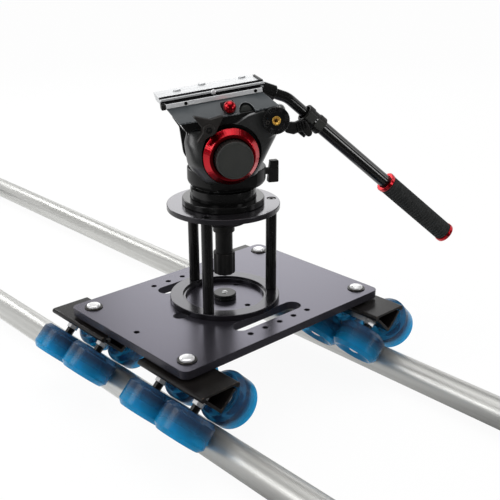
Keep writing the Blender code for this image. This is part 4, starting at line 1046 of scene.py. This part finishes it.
def make_bowl_and_ball():
    """The bowl in the riser's top plate, the half ball with its stud, the cup under it and the tie-down."""
    lip, top, under = BOWL_LIP
    inside = arc(BOWL_BORE, from_down(BOWL_BORE, -BOWL_DEPTH), from_down(BOWL_BORE, top))
    outside = arc(BOWL_BODY, from_down(BOWL_BODY, under), from_down(BOWL_BODY, -BOWL_DEPTH))
    rim = rounded([(*inside[-1], 0), (lip, top, 1.2), (lip, under, 0.8), (*outside[0], 0)])[1:-1]
    piece("bowl_ring", turned(inside + rim + outside, 2 * SIDES), "gloss", "carriage", BALL, ["bowl"])

    zone = arc(BALL_RADIUS, from_down(BALL_RADIUS, -BALL_FLAT), from_down(BALL_RADIUS, BALL_CROWN))
    neck = rounded([(*zone[-1], 0), (NECK_RADIUS, BALL_CROWN, 1), (NECK_RADIUS, NECK_TOP, 0.5),
                    (SPINDLE[0], NECK_TOP, 0), (*SPINDLE, 0.6), (0, SPINDLE[1], 0)])[1:]
    profile = [(0, STUD[1]), STUD, (STUD[0], -BALL_FLAT)] + zone + neck
    piece("half_ball_and_stud", turned(profile, 2 * SIDES), "gloss", "ball", BALL, ["half_ball"])

    under_cup = CUP_TOP + CUP_WALL
    floor = -sqrt(under_cup ** 2 - CUP_FLOOR ** 2)
    inner, outer = degrees(asin(CUP_BORE / CUP_SEAT)), degrees(asin(CUP_SEAT_EDGE / CUP_SEAT))
    upper = (CUP_SEAT - CUP_WALL) / CUP_SEAT
    profile = arc(CUP_SEAT, inner, outer)
    profile += arc(under_cup, from_down(under_cup, floor), CUP_REACH)
    profile += arc(CUP_TOP, CUP_REACH, from_down(CUP_TOP, floor + CUP_WALL))
    profile += [(r * upper, h * upper) for r, h in arc(CUP_SEAT, outer, inner)]
    piece("level_dish", turned(profile), "knob", "level_cup", BALL, ["level_cup"])

    seat, bore = CUP_SEAT + GAP, STUD[0] + GAP
    crown = arc(seat, degrees(asin(TIE_DOWN_SEAT / seat)), degrees(asin(bore / seat)))
    radius, foot, top = TIE_DOWN_GRIP
    neck, neck_top = TIE_DOWN_NECK
    corners = [(bore, foot, 0), (radius, foot, 3), (radius, top, 1.5), (neck, top, 1), (neck, neck_top, 1),
               (TIE_DOWN_SEAT, neck_top, 0.8), (*crown[0], 0.8)]
    corners += [(*point, 0) for point in crown[1:]]
    count, depth, below = TIE_DOWN_FLUTES
    knob = fluted(lathe(corners, 8 * count), count, depth, neck - 1, below)
    piece("tie_down_grip", knob, "knob", "tie_down", BALL, ["tie_down_knob"])


def make_pan_base():
    """The turning foot, the arch that holds the tilt cartridge, and the pan lock."""
    chin = PAN_RADIUS - PAN_FOOT
    bend = [pi / 2 * step / CHIN_STEPS for step in range(CHIN_STEPS + 1)]
    curve = [(PAN_FOOT + chin * sin(a), PAN_BASE + chin * (1 - cos(a))) for a in bend]
    bore = SPINDLE[0] + GAP
    shoulder = [(PAN_RADIUS, PAN_TOP - 1), (PAN_RADIUS - 1, PAN_TOP), (bore, PAN_TOP)]
    foot = moved(turned([(bore, PAN_BASE)] + curve + shoulder, 2 * SIDES), shift(PAN_SETBACK))
    inside, reach = CHEEK_INNER - GAP, 2 * PAN_RADIUS
    cuts = both_sides((-reach, reach), (inside, reach), (PAN_LEDGE, 2 * PAN_TOP))
    piece("pan_foot", foot, "casting", "pan", PAN, ["pan_base"], 0.5, [cuts])
    x, z = TILT_AT
    arch = [(x - BARREL_RADIUS, PAN_TOP - 2), (x + BARREL_RADIUS, PAN_TOP - 2)]
    bend = [pi * step / ARCH_STEPS for step in range(ARCH_STEPS + 1)]
    arch += [(x + BARREL_RADIUS * cos(a), z + BARREL_RADIUS * sin(a)) for a in bend]
    piece("tilt_arch", moved(prism(arch, -inside, inside), FACING_NEAR), "casting", "pan", PAN, [], 1)

    lock = Matrix.Translation(JOINTS["pan_lock_turn"]["pos_m"]) @ PAN.to_3x3().to_4x4()
    radius, length = LOCK_STEM
    stem = rod(radius, 0, length, SMALL_SIDES, 0.4)
    piece("pan_lock_stem", stem, "knob", "pan_lock", lock @ FACING_BACK)
    pitch, depth, count = LOCK_GROOVES
    left, top = LOCK_PADDLE[0][:2]
    right = LOCK_PADDLE[1][0]
    half = LOCK_PADDLE_HALF
    grooves = []
    for k in range(count):
        height = top - pitch * (k + 1)
        grooves.append(both_sides((left - depth, right + depth), (half - depth, half + depth),
                                  (height - depth / 2, height + depth / 2)))
    paddle = moved(prism(rounded(LOCK_PADDLE), -half, half), FACING_NEAR)
    piece("pan_lock_grip", paddle, "knob", "pan_lock", lock, ["pan_lock_knob"], 0.6, [merge(grooves)])


def eased(value, low, high):
    """0 below low, 1 above high, and a smooth rise between them."""
    share = max(0, min(1, (value - low) / (high - low)))
    return share * share * (3 - 2 * share)


def cover_side(x):
    """1 on the near cover's left side, and 0 right of the drag ring's middle."""
    return eased(-x, 0, RING_RADIUS)


def cover_reach(x, y):
    """Breadth of the near cover's edge: broad on the left and beside the drag ring, narrow elsewhere."""
    top, left = COVER_REACH
    low = eased(ROSETTE_AT[1] - y, 0, ROSETTE_RADIUS)
    return top + (left - top) * max(cover_side(x), low)


def rim_at(outline, centre, angle):
    """Distance from a point to an outline round it, in one direction."""
    way = Vector((cos(angle), sin(angle)))
    found = []
    for k, end in enumerate(outline):
        start = Vector(outline[k - 1]) - centre
        edge = Vector(end) - Vector(outline[k - 1])
        across = way.cross(edge)
        if across and 0 <= start.cross(way) / across <= 1:
            found.append(start.cross(edge) / across)
    return max(found)


def cover_shape(outline):
    """The near cover, drawn out from the pocket round the drag ring and rounded over towards its outline."""
    x, y, bore = RING_POCKET
    centre = Vector((x, y))
    arcs = [pi / 2 * step / COVER_STEPS for step in range(COVER_STEPS + 1)]
    shape = turned([(1, 0)] + [(1 + sin(a), 1) for a in arcs] + [(2, 0)], 4 * SIDES)

    def drawn(share, angle, level):
        rim = rim_at(outline, centre, angle)
        start = min(bore, rim - COVER_LEDGE)
        radius = start + (rim - start) * (share - 1)
        if not level:
            return radius, CHEEK_INNER
        edge_x, edge_y = x + rim * cos(angle), y + rim * sin(angle)
        inside = max(0, min(1, (rim - radius) / cover_reach(edge_x, edge_y)))
        side = cover_side(edge_x)
        height = CHEEK_FACE - CHEEK_INNER + COVER_BULGE * side
        height *= 1 - COVER_SHOULDER * side * eased(y + radius * sin(angle), 0, LEVER_AT[1])
        return radius, CHEEK_INNER + GAP + (height - GAP) * sqrt(1 - (1 - inside) ** 2)

    return moved(warp(shape, drawn), shift(x, y))


def make_bridge():
    """Cheeks beside the barrel, the near one with a pocket round the drag ring, and the saddle above them."""
    near, cover, far = rounded(NEAR_CHEEK), rounded(NEAR_COVER), rounded(FAR_CHEEK)
    front = TILT @ FACING_NEAR
    wide = 2 * CHEEK_FACE
    wall = CHEEK_INNER + COVER_BASE
    inner = prism(inset(near, COVER_BASE), CHEEK_INNER, wall)
    piece("cheek_near", inner, "gloss", "tilt", front, ["tilt_bridge"], 0.5)
    piece("cheek_near_cover", cover_shape(cover), "cheek", "tilt", front)
    piece("drag_hub", rod(RING_HUB, wall, CHEEK_FACE, SIDES, 0, 0.5), "gloss", "tilt", front)
    mirror = Matrix.Scale(-1, 4, (0, 0, 1))
    outer = moved(pillow(far, CHEEK_INNER, CHEEK_FACE, CHEEK_ROUND), mirror)
    piece("cheek_far", outer, "cheek", "tilt", front)
    skins = []
    for sections in (SADDLE_SECTIONS, CORE_SECTIONS):
        rows = [((start, height, -half), (end, height, -half), (end, height, half), (start, height, half))
                for height, start, end, half in sections]
        skins.append(loft(rows))
    sinks = [moved(rod(radius, floor, wide, 2 * SMALL_SIDES), shift(*place))
             for place, (radius, floor) in ((BUTTON_AT, BUTTON_POCKET), (RECESS_AT, RECESS))]
    piece("saddle", skins[0], "saddle", "tilt", front, [], SADDLE_EDGE, sinks)
    piece("saddle_core", skins[1], "gloss", "tilt", front, [], SADDLE_EDGE)
    radius, drop, face = RECESS_PLUG
    plug = rod(radius, RECESS[1], face, 2 * SMALL_SIDES, 0, 0.8)
    piece("saddle_recess_plug", plug, "cap", "tilt", front @ at(RECESS_AT[0], RECESS_AT[1] + drop))


def make_bed():
    """The silver bed with its screws, end cap and liners."""
    length = BED_SPAN[1] - BED_SPAN[0]
    section = rounded([(-BED_HALF, 0, 0.5), (BED_HALF, 0, 0.5), (BED_HALF, BED_HEIGHT, 0.6),
                       (CHANNEL_HALF, BED_HEIGHT, 0.3), (CHANNEL_HALF, BED_FLOOR, 0.2),
                       (-CHANNEL_HALF, BED_FLOOR, 0.2), (-CHANNEL_HALF, BED_HEIGHT, 0.3),
                       (-BED_HALF, BED_HEIGHT, 0.6)])
    bed = moved(prism(section, 0, length), ALONG)
    place = TILT @ at(BED_SPAN[0], 0, BED_BASE)
    seats = [FACING_NEAR @ shift(x - BED_SPAN[0], BED_HEIGHT / 2, BED_HALF) for x in BED_SCREWS]
    radius, depth = BED_SCREW
    sinks = repeat(seats, rod, radius + GAP, -depth, depth, SMALL_SIDES)
    piece("slide_rail_bed", bed, "silver", "tilt", place, ["slide_bed"], 0, [sinks])
    piece("slide_bed_screws", repeat(seats, socket_screw, radius, -depth, -GAP), "gloss", "tilt", place)
    end = block((-BED_CAP, -BED_HALF + GAP, -1), (-GAP, BED_CORNER - BED_HALF, BED_HEIGHT))
    piece("slide_end_cap", end, "knob", "tilt", place, [], 0.8)
    liners = both_sides((GAP, length - GAP), LINER, (BED_HEIGHT, BED_HEIGHT + LINER_HEIGHT))
    piece("slide_liners", liners, "strip", "tilt", place)


def make_plate():
    """The camera plate with its rubber strip, black strips that paint the shade in its side grooves, its
    pads, stop and stud.
    """
    length = PLATE_SPAN[1] - PLATE_SPAN[0]
    place = TILT @ at(PLATE_SPAN[0], 0, PLATE_BASE)
    key, low = CHANNEL_HALF - GAP, BED_FLOOR - BED_HEIGHT
    thick = PLATE_TOP - PLATE_BASE
    half, groove, lip = PLATE_HALF, PLATE_HALF - PLATE_GROOVE, PLATE_LIP
    chamfer, floor = PLATE_CHAMFER, thick - STRIP_DEPTH
    near, far = STRIP
    right = [(key, low), (key, 0), (groove, 0), (groove, lip), (half, lip), (half, thick - chamfer),
             (half - chamfer, thick)]
    left = [(-x, y) for x, y in right[::-1]]
    section = right + [(far, thick), (far, floor), (near, floor), (near, thick)] + left
    bar = moved(prism(section, 0, length), ALONG)
    piece("camera_plate_bar", bar, "plate", "camera_plate", place, ["camera_plate"])
    strip = block((0.5, near + 0.1, floor), (length - 0.5, far - 0.1, thick + 0.2))
    pitch, width, margin = STRIP_RIB
    ribs = [block((x, near + margin, thick + 0.1), (x + width, far - margin, thick + 0.5))
            for x in range(pitch, int(length) - pitch, pitch)]
    piece("plate_rubber_strip", merge([strip] + ribs), "strip", "camera_plate", place)
    # Painted shade: black strips fill the plate's side grooves where they lie in shade.
    sides = both_sides((GAP, length - GAP), (groove, half - GROOVE_SHADE_SETBACK), (0.1, lip - 0.1))
    piece("plate_groove_shade_strips", sides, "strip", "camera_plate", place)
    radius, height = PLATE_PAD
    seats = [shift(x - PLATE_SPAN[0], y, thick) for x, y in PLATE_PADS]
    pads = repeat(seats, rod, radius, 0, height, SMALL_SIDES, 0, 0.6)
    piece("plate_pads", pads, "plate", "camera_plate", place)
    along, across, over = PLATE_STOP
    stop = block(*[(length - x, y, thick + z) for x, y, z in zip(along, across, over)])
    piece("plate_stop", stop, "knob", "camera_plate", place, [], 0.8)
    radius, rim, crown = STUD_HEAD
    stud = lathe([(0, 0, 0), (radius, 0, 0), (radius, rim, 1), (0, crown, 0)], SMALL_SIDES)
    place = TILT @ at(PLATE_STUD, -PLATE_HALF, PLATE_TOP - rim)
    piece("plate_lock_stud", moved(stud, FACING_NEAR), "steel", "camera_plate", place)


def make_tilt_controls():
    """Drag ring and cap, far cover, lock lever and release button."""
    near = TILT @ at(0, -CHEEK_FACE - GAP, 0) @ FACING_NEAR
    inner = CAP_RADIUS + GAP
    grip = lathe([(RING_RADIUS, 0, 0.4), (RING_RADIUS, RING_WALL, 1.6), (RING_CONE, RING_HEIGHT, 1.6),
                  (inner + 1.2, RING_HEIGHT, 0.8), (inner, RING_HEIGHT - 1, 0.3), (inner, 0, 0)], 3 * SIDES)
    fluted(grip, SIDES, KNURL, RING_RADIUS - 0.6)
    piece("drag_ring_grip", grip, "red", "drag_ring", near, ["drag_ring"])
    rim = CAP_HEIGHT - CAP_RIM
    skirt = fluted(rod(CAP_RADIUS, 0, rim, 6 * CAP_TEETH, 0, 0.6), CAP_TEETH, CAP_TOOTH, CAP_RADIUS - 1)
    piece("drag_cap_skirt", skirt, "knob", "tilt", near)
    radius, floor = CAP_RADIUS - 0.4, CAP_HEIGHT - CAP_SINK
    cap = lathe([(0, rim, 0), (radius, rim, 0), (radius, CAP_HEIGHT, 1), (radius - 1.8, CAP_HEIGHT, 0),
                 (radius - 2.1, floor, 0), (0, floor, 0)], 2 * SIDES)
    piece("drag_cap_cover", cap, "cap", "tilt", near, ["drag_cap"])
    far = TILT @ at(0, CHEEK_FACE + GAP, 0) @ FACING_FAR
    radius, height = COVER
    rim, floor = radius - COVER_RIM, height - COVER_SINK
    cover = lathe([(0, 0, 0), (radius, 0, 0.3), (radius, height, 2.4), (rim, height, 0.6),
                   (rim - 1, floor, 0.3), (0, floor, 0)], 2 * SIDES)
    piece("far_cover_disc", cover, "cap", "tilt", far, ["far_cover"])

    place = TILT @ at(LEVER_AT[0], -CHEEK_FACE - GAP, LEVER_AT[1]) @ FACING_NEAR
    radius, height = LEVER_HUB
    wing = pillow(rounded(LEVER_OUTLINE), LEVER_BASE, height - 1, LEVER_EDGE)
    piece("tilt_lever_wing", wing, "lever", "tilt_lock", place, ["tilt_lock_lever"])
    piece("tilt_lever_hub", rod(radius, 0, height, 2 * SMALL_SIDES, 0, 0.8), "lever", "tilt_lock", place)
    screw = socket_screw(LEVER_SCREW, height - 1, height + 0.8)
    piece("tilt_lever_screw", screw, "gloss", "tilt_lock", place)

    place = TILT @ at(BUTTON_AT[0], -BUTTON_REACH, BUTTON_AT[1]) @ FACING_NEAR
    stem, length = BUTTON_STEM
    ball = arc(BUTTON_RADIUS, degrees(asin(stem / BUTTON_RADIUS)), 180)[:-1]
    button = turned([(0, -length), (stem, -length)] + ball + [(0, BUTTON_RADIUS)], 2 * SMALL_SIDES)
    piece("release_ball", button, "red", "plate_release", place, ["plate_release_button"])


def rosette(height):
    """A disc with radial teeth on its face."""
    length, depth = TOOTH
    radius, floor = ROSETTE_RADIUS, height - depth
    root = radius - length
    shape = lathe([(radius, 0, 0.4), (radius, height, 0.4), (root, height, 0), (root - 0.4, floor, 0),
                   (ROSETTE_BORE, floor, 0), (ROSETTE_BORE, 0, 0)], 6 * TEETH)

    def toothed(r, angle, z):
        if z > height - 0.6 and r > root - 0.2:
            z -= depth * wave(angle, TEETH)
        return r, z

    return warp(shape, toothed)


def make_rosettes():
    """A toothed disc on each cheek, the near one with a brass insert and a pin."""
    for node, side, turn in (("rosette_near", -1, FACING_NEAR), ("rosette_far", 1, FACING_FAR)):
        place = TILT @ at(ROSETTE_AT[0], side * (CHEEK_FACE + GAP), ROSETTE_AT[1]) @ turn
        piece(f"{node}_disc", rosette(ROSETTE_HEIGHT), "gloss", "tilt", place, [node])
        piece(f"{node}_boss", rod(ROSETTE_RADIUS - 1, CHEEK_INNER - CHEEK_FACE, 0), "cheek", "tilt", place)
        if side < 0:
            top = ROSETTE_HEIGHT - 0.4
            rim = ROSETTE_BORE - 0.1
            bore, mouth = INSERT
            insert = lathe([(bore, 0, 0), (rim, 0, 0), (rim, top, 0.5), (mouth, top, 0.2),
                            (bore, top - 1.5, 0.2)], 2 * SMALL_SIDES)
            piece("rosette_insert", insert, "brass", "tilt", place)
            offset, radius = ROSETTE_PIN
            pin = socket_screw(radius, ROSETTE_HEIGHT - 1.5, ROSETTE_HEIGHT + 0.5)
            piece("rosette_pin", pin, "lever", "tilt", place @ at(-offset))


def bar_path():
    """Axis of the bent tube, from its socket to the far end of the straight stretch."""
    run = BEND_RADIUS * tan(BAR_KINK / 2)
    corner = Vector((BEND_AT, BAR_OFFSET))
    first = corner - Vector((cos(BAR_KINK), sin(BAR_KINK))) * (BEND_AT - TUBE_START) / cos(BAR_KINK)
    points = [tuple(first)]
    for step in range(SMALL_SIDES + 1):
        a = BAR_KINK * (1 - step / SMALL_SIDES)
        points.append((corner.x + run - BEND_RADIUS * sin(a), corner.y - BEND_RADIUS * (1 - cos(a))))
    points.append((TUBE_END, BAR_OFFSET))
    return points


def make_bar_foot():
    """The foot on the far rosette, the bent tube in its socket, and the thumb screw."""
    path = bar_path()
    x, z = path[0]
    disc = rosette(FOOT_HEIGHT)
    piece("bar_foot_disc", disc, "gloss", "bar", BAR @ at(0, FOOT_FACE, 0) @ FACING_FAR, ["bar_foot"])
    reach = FOOT_HEIGHT / 2 - GAP
    web = block((-FOOT_WEB, BAR_AXIS - reach, ROSETTE_BORE + GAP), (FOOT_WEB, BAR_AXIS + reach, z))
    piece("bar_foot_arm", web, "gloss", "bar", BAR, [], 1.5)
    radius, ahead = FOOT_SOCKET
    bore = TUBE_RADIUS + GAP
    socket = lathe([(0, -radius, 0), (radius, -radius, 3), (radius, ahead, 1), (bore, ahead, 0.3),
                    (bore, 0, 0), (0, 0, 0)])
    turn = Matrix.Rotation(pi / 2 - BAR_KINK, 4, "Y")
    piece("bar_foot_socket", socket, "bar", "bar", BAR @ at(x, BAR_AXIS, z) @ turn)
    tube = swept(path, TUBE_RADIUS, TUBE_RADIUS - TUBE_WALL, 2 * SMALL_SIDES)
    piece("bar_tube", tube, "bar", "bar", BAR @ at(0, BAR_AXIS, 0), ["bar_bent_tube"])

    radius, height = THUMB
    lobes, depth = THUMB_LOBES
    shank = -(FOOT_HEIGHT + ROSETTE_HEIGHT + (CHEEK_FACE - CHEEK_INNER) / 2)
    knob = lathe([(0, shank, 0), (THUMB_SHANK, shank, 0.5), (THUMB_SHANK, GAP, 0), (radius, GAP, 1.2),
                  (radius, GAP + height, 2.5), (0, GAP + height, 0)], lobes * SMALL_SIDES)
    fluted(knob, lobes, depth, THUMB_SHANK + 2)
    place = BAR @ at(0, FOOT_FACE + FOOT_HEIGHT, 0) @ FACING_FAR
    piece("bar_thumb_knob", knob, "knob", "bar_screw", place, ["bar_thumb_screw"])


def make_bar_collar():
    """The sleeve on the tube, and the collar on it with its ears, screw and lug."""
    along = BAR @ at(0, BAR_AXIS, BAR_OFFSET) @ FACING_BACK
    first, length, radius = SLEEVE
    sleeve = ring(radius, TUBE_RADIUS + GAP, first, first + length, SIDES, 0.4, 0.6, 0.3)
    piece("bar_sleeve_tube", sleeve, "bar", "bar_grip", along, ["bar_sleeve"])
    first, length, radius = COLLAR
    last = first + length
    top, foot, height = COLLAR_BAND
    neck = radius - height
    collar = lathe([(radius, first, 0.8), (radius, first + top, 0.6), (neck, first + foot, 0),
                    (neck, last - foot, 0), (radius, last - top, 0.6), (radius, last, 0.8),
                    (SLEEVE_FIT, last, 0.3), (SLEEVE_FIT, first, 0.3)])
    piece("bar_collar_clamp", collar, "knob", "bar_grip", along, ["bar_collar"])
    ear, tall, reach = COLLAR_EAR
    middles = [COLLAR_MIDDLE + side * length / 4 for side in (-1, 1)]
    ears = merge([block((x - ear, BAR_AXIS - reach, BAR_OFFSET - tall),
                        (x + ear, BAR_AXIS - radius / 2, BAR_OFFSET + tall)) for x in middles])
    piece("bar_collar_ears", ears, "cap", "bar_grip", BAR, [], 1.2)
    size, rise = COLLAR_SCREW
    screw = socket_screw(size, radius - 4, reach - 0.6)
    place = BAR @ at(COLLAR_MIDDLE, BAR_AXIS, BAR_OFFSET + rise) @ FACING_NEAR
    piece("bar_collar_screw", screw, "steel", "bar_grip", place)
    size, drop = LUG_KNOB
    start, neck, end = SLEEVE_FIT + GAP, LUG_AT - LUG_NECK, LUG_AT + drop
    lug = lathe([(0, start, 0), (size - 1, start, 0), (size - 1, neck, 0.4), (size, neck, 0.6),
                 (size, end, 1), (0, end, 0)], 4 * SMALL_SIDES)
    fluted(lug, SMALL_SIDES / 2, LUG_FLUTE, size - 0.7)
    place = BAR @ at(COLLAR_MIDDLE, BAR_AXIS, BAR_OFFSET)
    piece("bar_collar_lug", moved(lug, TURNED_OVER), "knob", "bar_grip", place)


def make_bar_grip():
    """The ribbed grip between its two red rings."""
    along = BAR @ at(0, BAR_AXIS, BAR_OFFSET) @ FACING_BACK
    length, radius = GRIP_RING
    for node, begin in zip(("grip_front_ring", "grip_end_ring"), GRIP_RINGS):
        band = ring(radius, SLEEVE_FIT, begin, begin + length, SIDES, 1, 1, 0.3)
        piece(f"{node}_band", band, "red", "bar_grip", along, [node])
    begin, length, radius = GRIP
    count, height = GRIP_RIBS
    pitch = length / count
    valley = radius - height
    profile = [(SLEEVE_FIT, begin), (valley, begin)]
    for k in range(count):
        for share, level in ((0.15, valley), (0.3, radius), (0.8, radius), (0.95, valley)):
            profile.append((level, begin + pitch * (k + share)))
    profile += [(valley, begin + length), (SLEEVE_FIT, begin + length)]
    piece("grip_sleeve", turned(profile), "foam", "bar_grip", along, ["grip"])


def make_bar_clamp():
    """The clamp's hub and shank, and its ribbed wing."""
    place = BAR @ at(COLLAR_MIDDLE, BAR_AXIS - LUG_HALF - GAP, BAR_OFFSET - LUG_AT) @ FACING_NEAR
    radius, height = CLAMP_HUB
    depth = -2 * LUG_HALF
    hub = lathe([(0, depth, 0), (CLAMP_SHANK, depth, 0), (CLAMP_SHANK, 0, 0), (radius, 0, 0.6),
                 (radius, height, 0.8), (0, height, 0)], 2 * SMALL_SIDES)
    piece("bar_clamp_hub", hub, "knob", "bar_clamp", place, ["bar_clamp_knob"])
    wing = pillow(rounded(CLAMP_WING), CLAMP_WING_BASE, height - GAP, CLAMP_WING_EDGE)
    piece("bar_clamp_wing", wing, "knob", "bar_clamp", place)
    long, thin = CLAMP_RIB
    lying = Matrix.Rotation(CLAMP_RIB_TURN, 4, "Z") @ FACING_BACK
    seats = [shift(x, y, height) @ lying for x, y in CLAMP_RIBS]
    ribs = repeat(seats, rod, thin, -long, long, SMALL_SIDES, 0.5, 0.5)
    piece("bar_clamp_ribs", ribs, "gloss", "bar_clamp", place)


CAMERA_AT = (683.8, -594.1, 415)     # from the middle of the deck's top
CAMERA_LENS = 60.42
CAMERA_SENSOR = 36
AZIMUTH = radians(47.36)
ELEVATION = radians(21.39)
ROLL = radians(-0.16)
FLOOR_SIZE = 40                      # metres
FLOOR_WHITE = 0.97
FLOOR_GLOW = 0.94                    # share of the floor's white that is glow, and takes no shadow
FLOOR_FRONT = (-0.35, 0.1)           # where the floor's glow comes in, away from the camera
FLOOR_TURN = radians(30)             # that way, turned to the left
AMBIENT = 0.4
DARK_SIDE = 0.06                     # brightness behind the camera, as shiny pieces show it
BACKDROP = (-0.35, 0.3)              # how far towards the backdrop its white comes in
BACKDROP_TOP = (0.62, 0.38)          # how high it goes out again
SUN_SPREAD = radians(70)
SUN_POWER = 1.1
# Name, place from the deck's middle in metres, size, power
LAMPS = (("top", (-0.25, 0.15, 1.7), 1.3, 4.5), ("left", (-0.65, -1.55, 1.1), 1, 10),
         ("right", (1.4, 0.42, 0.22), 0.4, 2.2), ("back", (-1.45, 1.35, 0.85), 1.1, 3.6),
         ("back right", (1.36, 1.5, 0.85), 0.5, 1.5), ("back left", (-1.7, 0.1, 0.9), 0.5, 4),
         ("front", (0.55, -1.4, 0.42), 0.6, 2))


def make_camera():
    camera = add_object("camera", bpy.data.cameras.new("camera"))
    back = Vector((sin(AZIMUTH) * cos(ELEVATION), -cos(AZIMUTH) * cos(ELEVATION), sin(ELEVATION)))
    right = Vector((cos(AZIMUTH), sin(AZIMUTH), 0))
    up = back.cross(right)
    level = Matrix((right, up, back)).transposed().to_4x4()
    camera.matrix_world = CARRIAGE @ at(*CAMERA_AT) @ level @ Matrix.Rotation(ROLL, 4, "Z")
    camera.data.lens = CAMERA_LENS
    camera.data.sensor_width = CAMERA_SENSOR
    camera.data.clip_start = 0.01
    bpy.context.scene.camera = camera


def make_world():
    """White to the camera. Shiny and clear pieces see it white towards the backdrop and dark elsewhere."""
    world = bpy.data.worlds.new("studio")
    bpy.context.scene.world = world
    graph = Graph(world)
    way = graph.add("TexCoord", "Generated")
    height = graph.add("SeparateXYZ", "Z", (("Vector", way),))
    away = graph.dot(way, (-sin(AZIMUTH), cos(AZIMUTH), 0))
    white = graph.math("MULTIPLY", graph.span(away, *BACKDROP, interpolation_type="SMOOTHSTEP"),
                       graph.span(height, *BACKDROP_TOP, interpolation_type="SMOOTHSTEP"))
    level = AMBIENT
    for kinds, value in ((("Is Glossy Ray", "Is Transmission Ray"), graph.span(white, 0, 1, DARK_SIDE)),
                         (("Is Camera Ray",), 1)):
        level = graph.add("Mix", "Result", (("Factor", graph.seen_by(*kinds)), ("A", level), ("B", value)))
    background = graph.nodes["Background"].inputs
    graph.feed(background["Strength"], level)
    graph.feed(background["Color"], (1, 1, 1, 1))


def make_floor():
    """A white floor that keeps a light shadow."""
    material = bpy.data.materials.new("floor")
    graph = Graph(material)
    shader = graph.nodes["Principled BSDF"]
    for name, value in (("Base Color", (FLOOR_WHITE, FLOOR_WHITE, FLOOR_WHITE, 1)), ("Roughness", 1),
                        ("Specular IOR Level", 0)):
        shader.inputs[name].default_value = value
    away = (-sin(AZIMUTH + FLOOR_TURN), cos(AZIMUTH + FLOOR_TURN), 0)
    front = graph.span(graph.dot(graph.add("TexCoord", "Object"), away), *FLOOR_FRONT,
                       interpolation_type="SMOOTHSTEP")
    bright = graph.math("MAXIMUM", front, graph.seen_by("Is Camera Ray"))
    glow = graph.add("Emission", "Emission", (("Strength", bright),))
    seen = graph.seen_by("Is Camera Ray", "Is Glossy Ray", "Is Transmission Ray")
    share = graph.span(seen, 0, 1, 0, FLOOR_GLOW)
    surface = graph.add("MixShader", "Shader", (("Fac", share), (1, shader.outputs["BSDF"]), (2, glow)))
    graph.feed(graph.nodes["Material Output"].inputs["Surface"], surface)
    mesh = bpy.data.meshes.new("floor")
    half = FLOOR_SIZE / 2
    corners = [(-half, -half, 0), (half, -half, 0), (half, half, 0), (-half, half, 0)]
    mesh.from_pydata(corners, [], [(0, 1, 2, 3)])
    mesh.materials.append(material)
    floor = add_object("floor", mesh)
    floor.location = (CARRIAGE.translation.x, CARRIAGE.translation.y, 0)


def make_lamps():
    """A wide sun from above for an even floor, and soft lamps around the object."""
    sun = bpy.data.lights.new("sky", "SUN")
    sun.angle = SUN_SPREAD
    sun.energy = SUN_POWER
    add_object("sky", sun)
    target = CARRIAGE.translation
    for name, place, size, power in LAMPS:
        lamp = bpy.data.lights.new(name, "AREA")
        lamp.shape = "DISK"
        lamp.size = size
        lamp.energy = power
        item = add_object(name, lamp)
        item.location = target + Vector(place)
        item.rotation_euler = (target - item.location).to_track_quat("-Z", "Y").to_euler()


make_track()
make_deck()
make_trucks()
make_riser()
make_bowl_and_ball()
make_pan_base()
make_bridge()
make_bed()
make_plate()
make_tilt_controls()
make_rosettes()
make_bar_foot()
make_bar_collar()
make_bar_grip()
make_bar_clamp()
make_camera()
make_world()
make_floor()
make_lamps()
bpy.context.scene.view_settings.view_transform = "Standard"
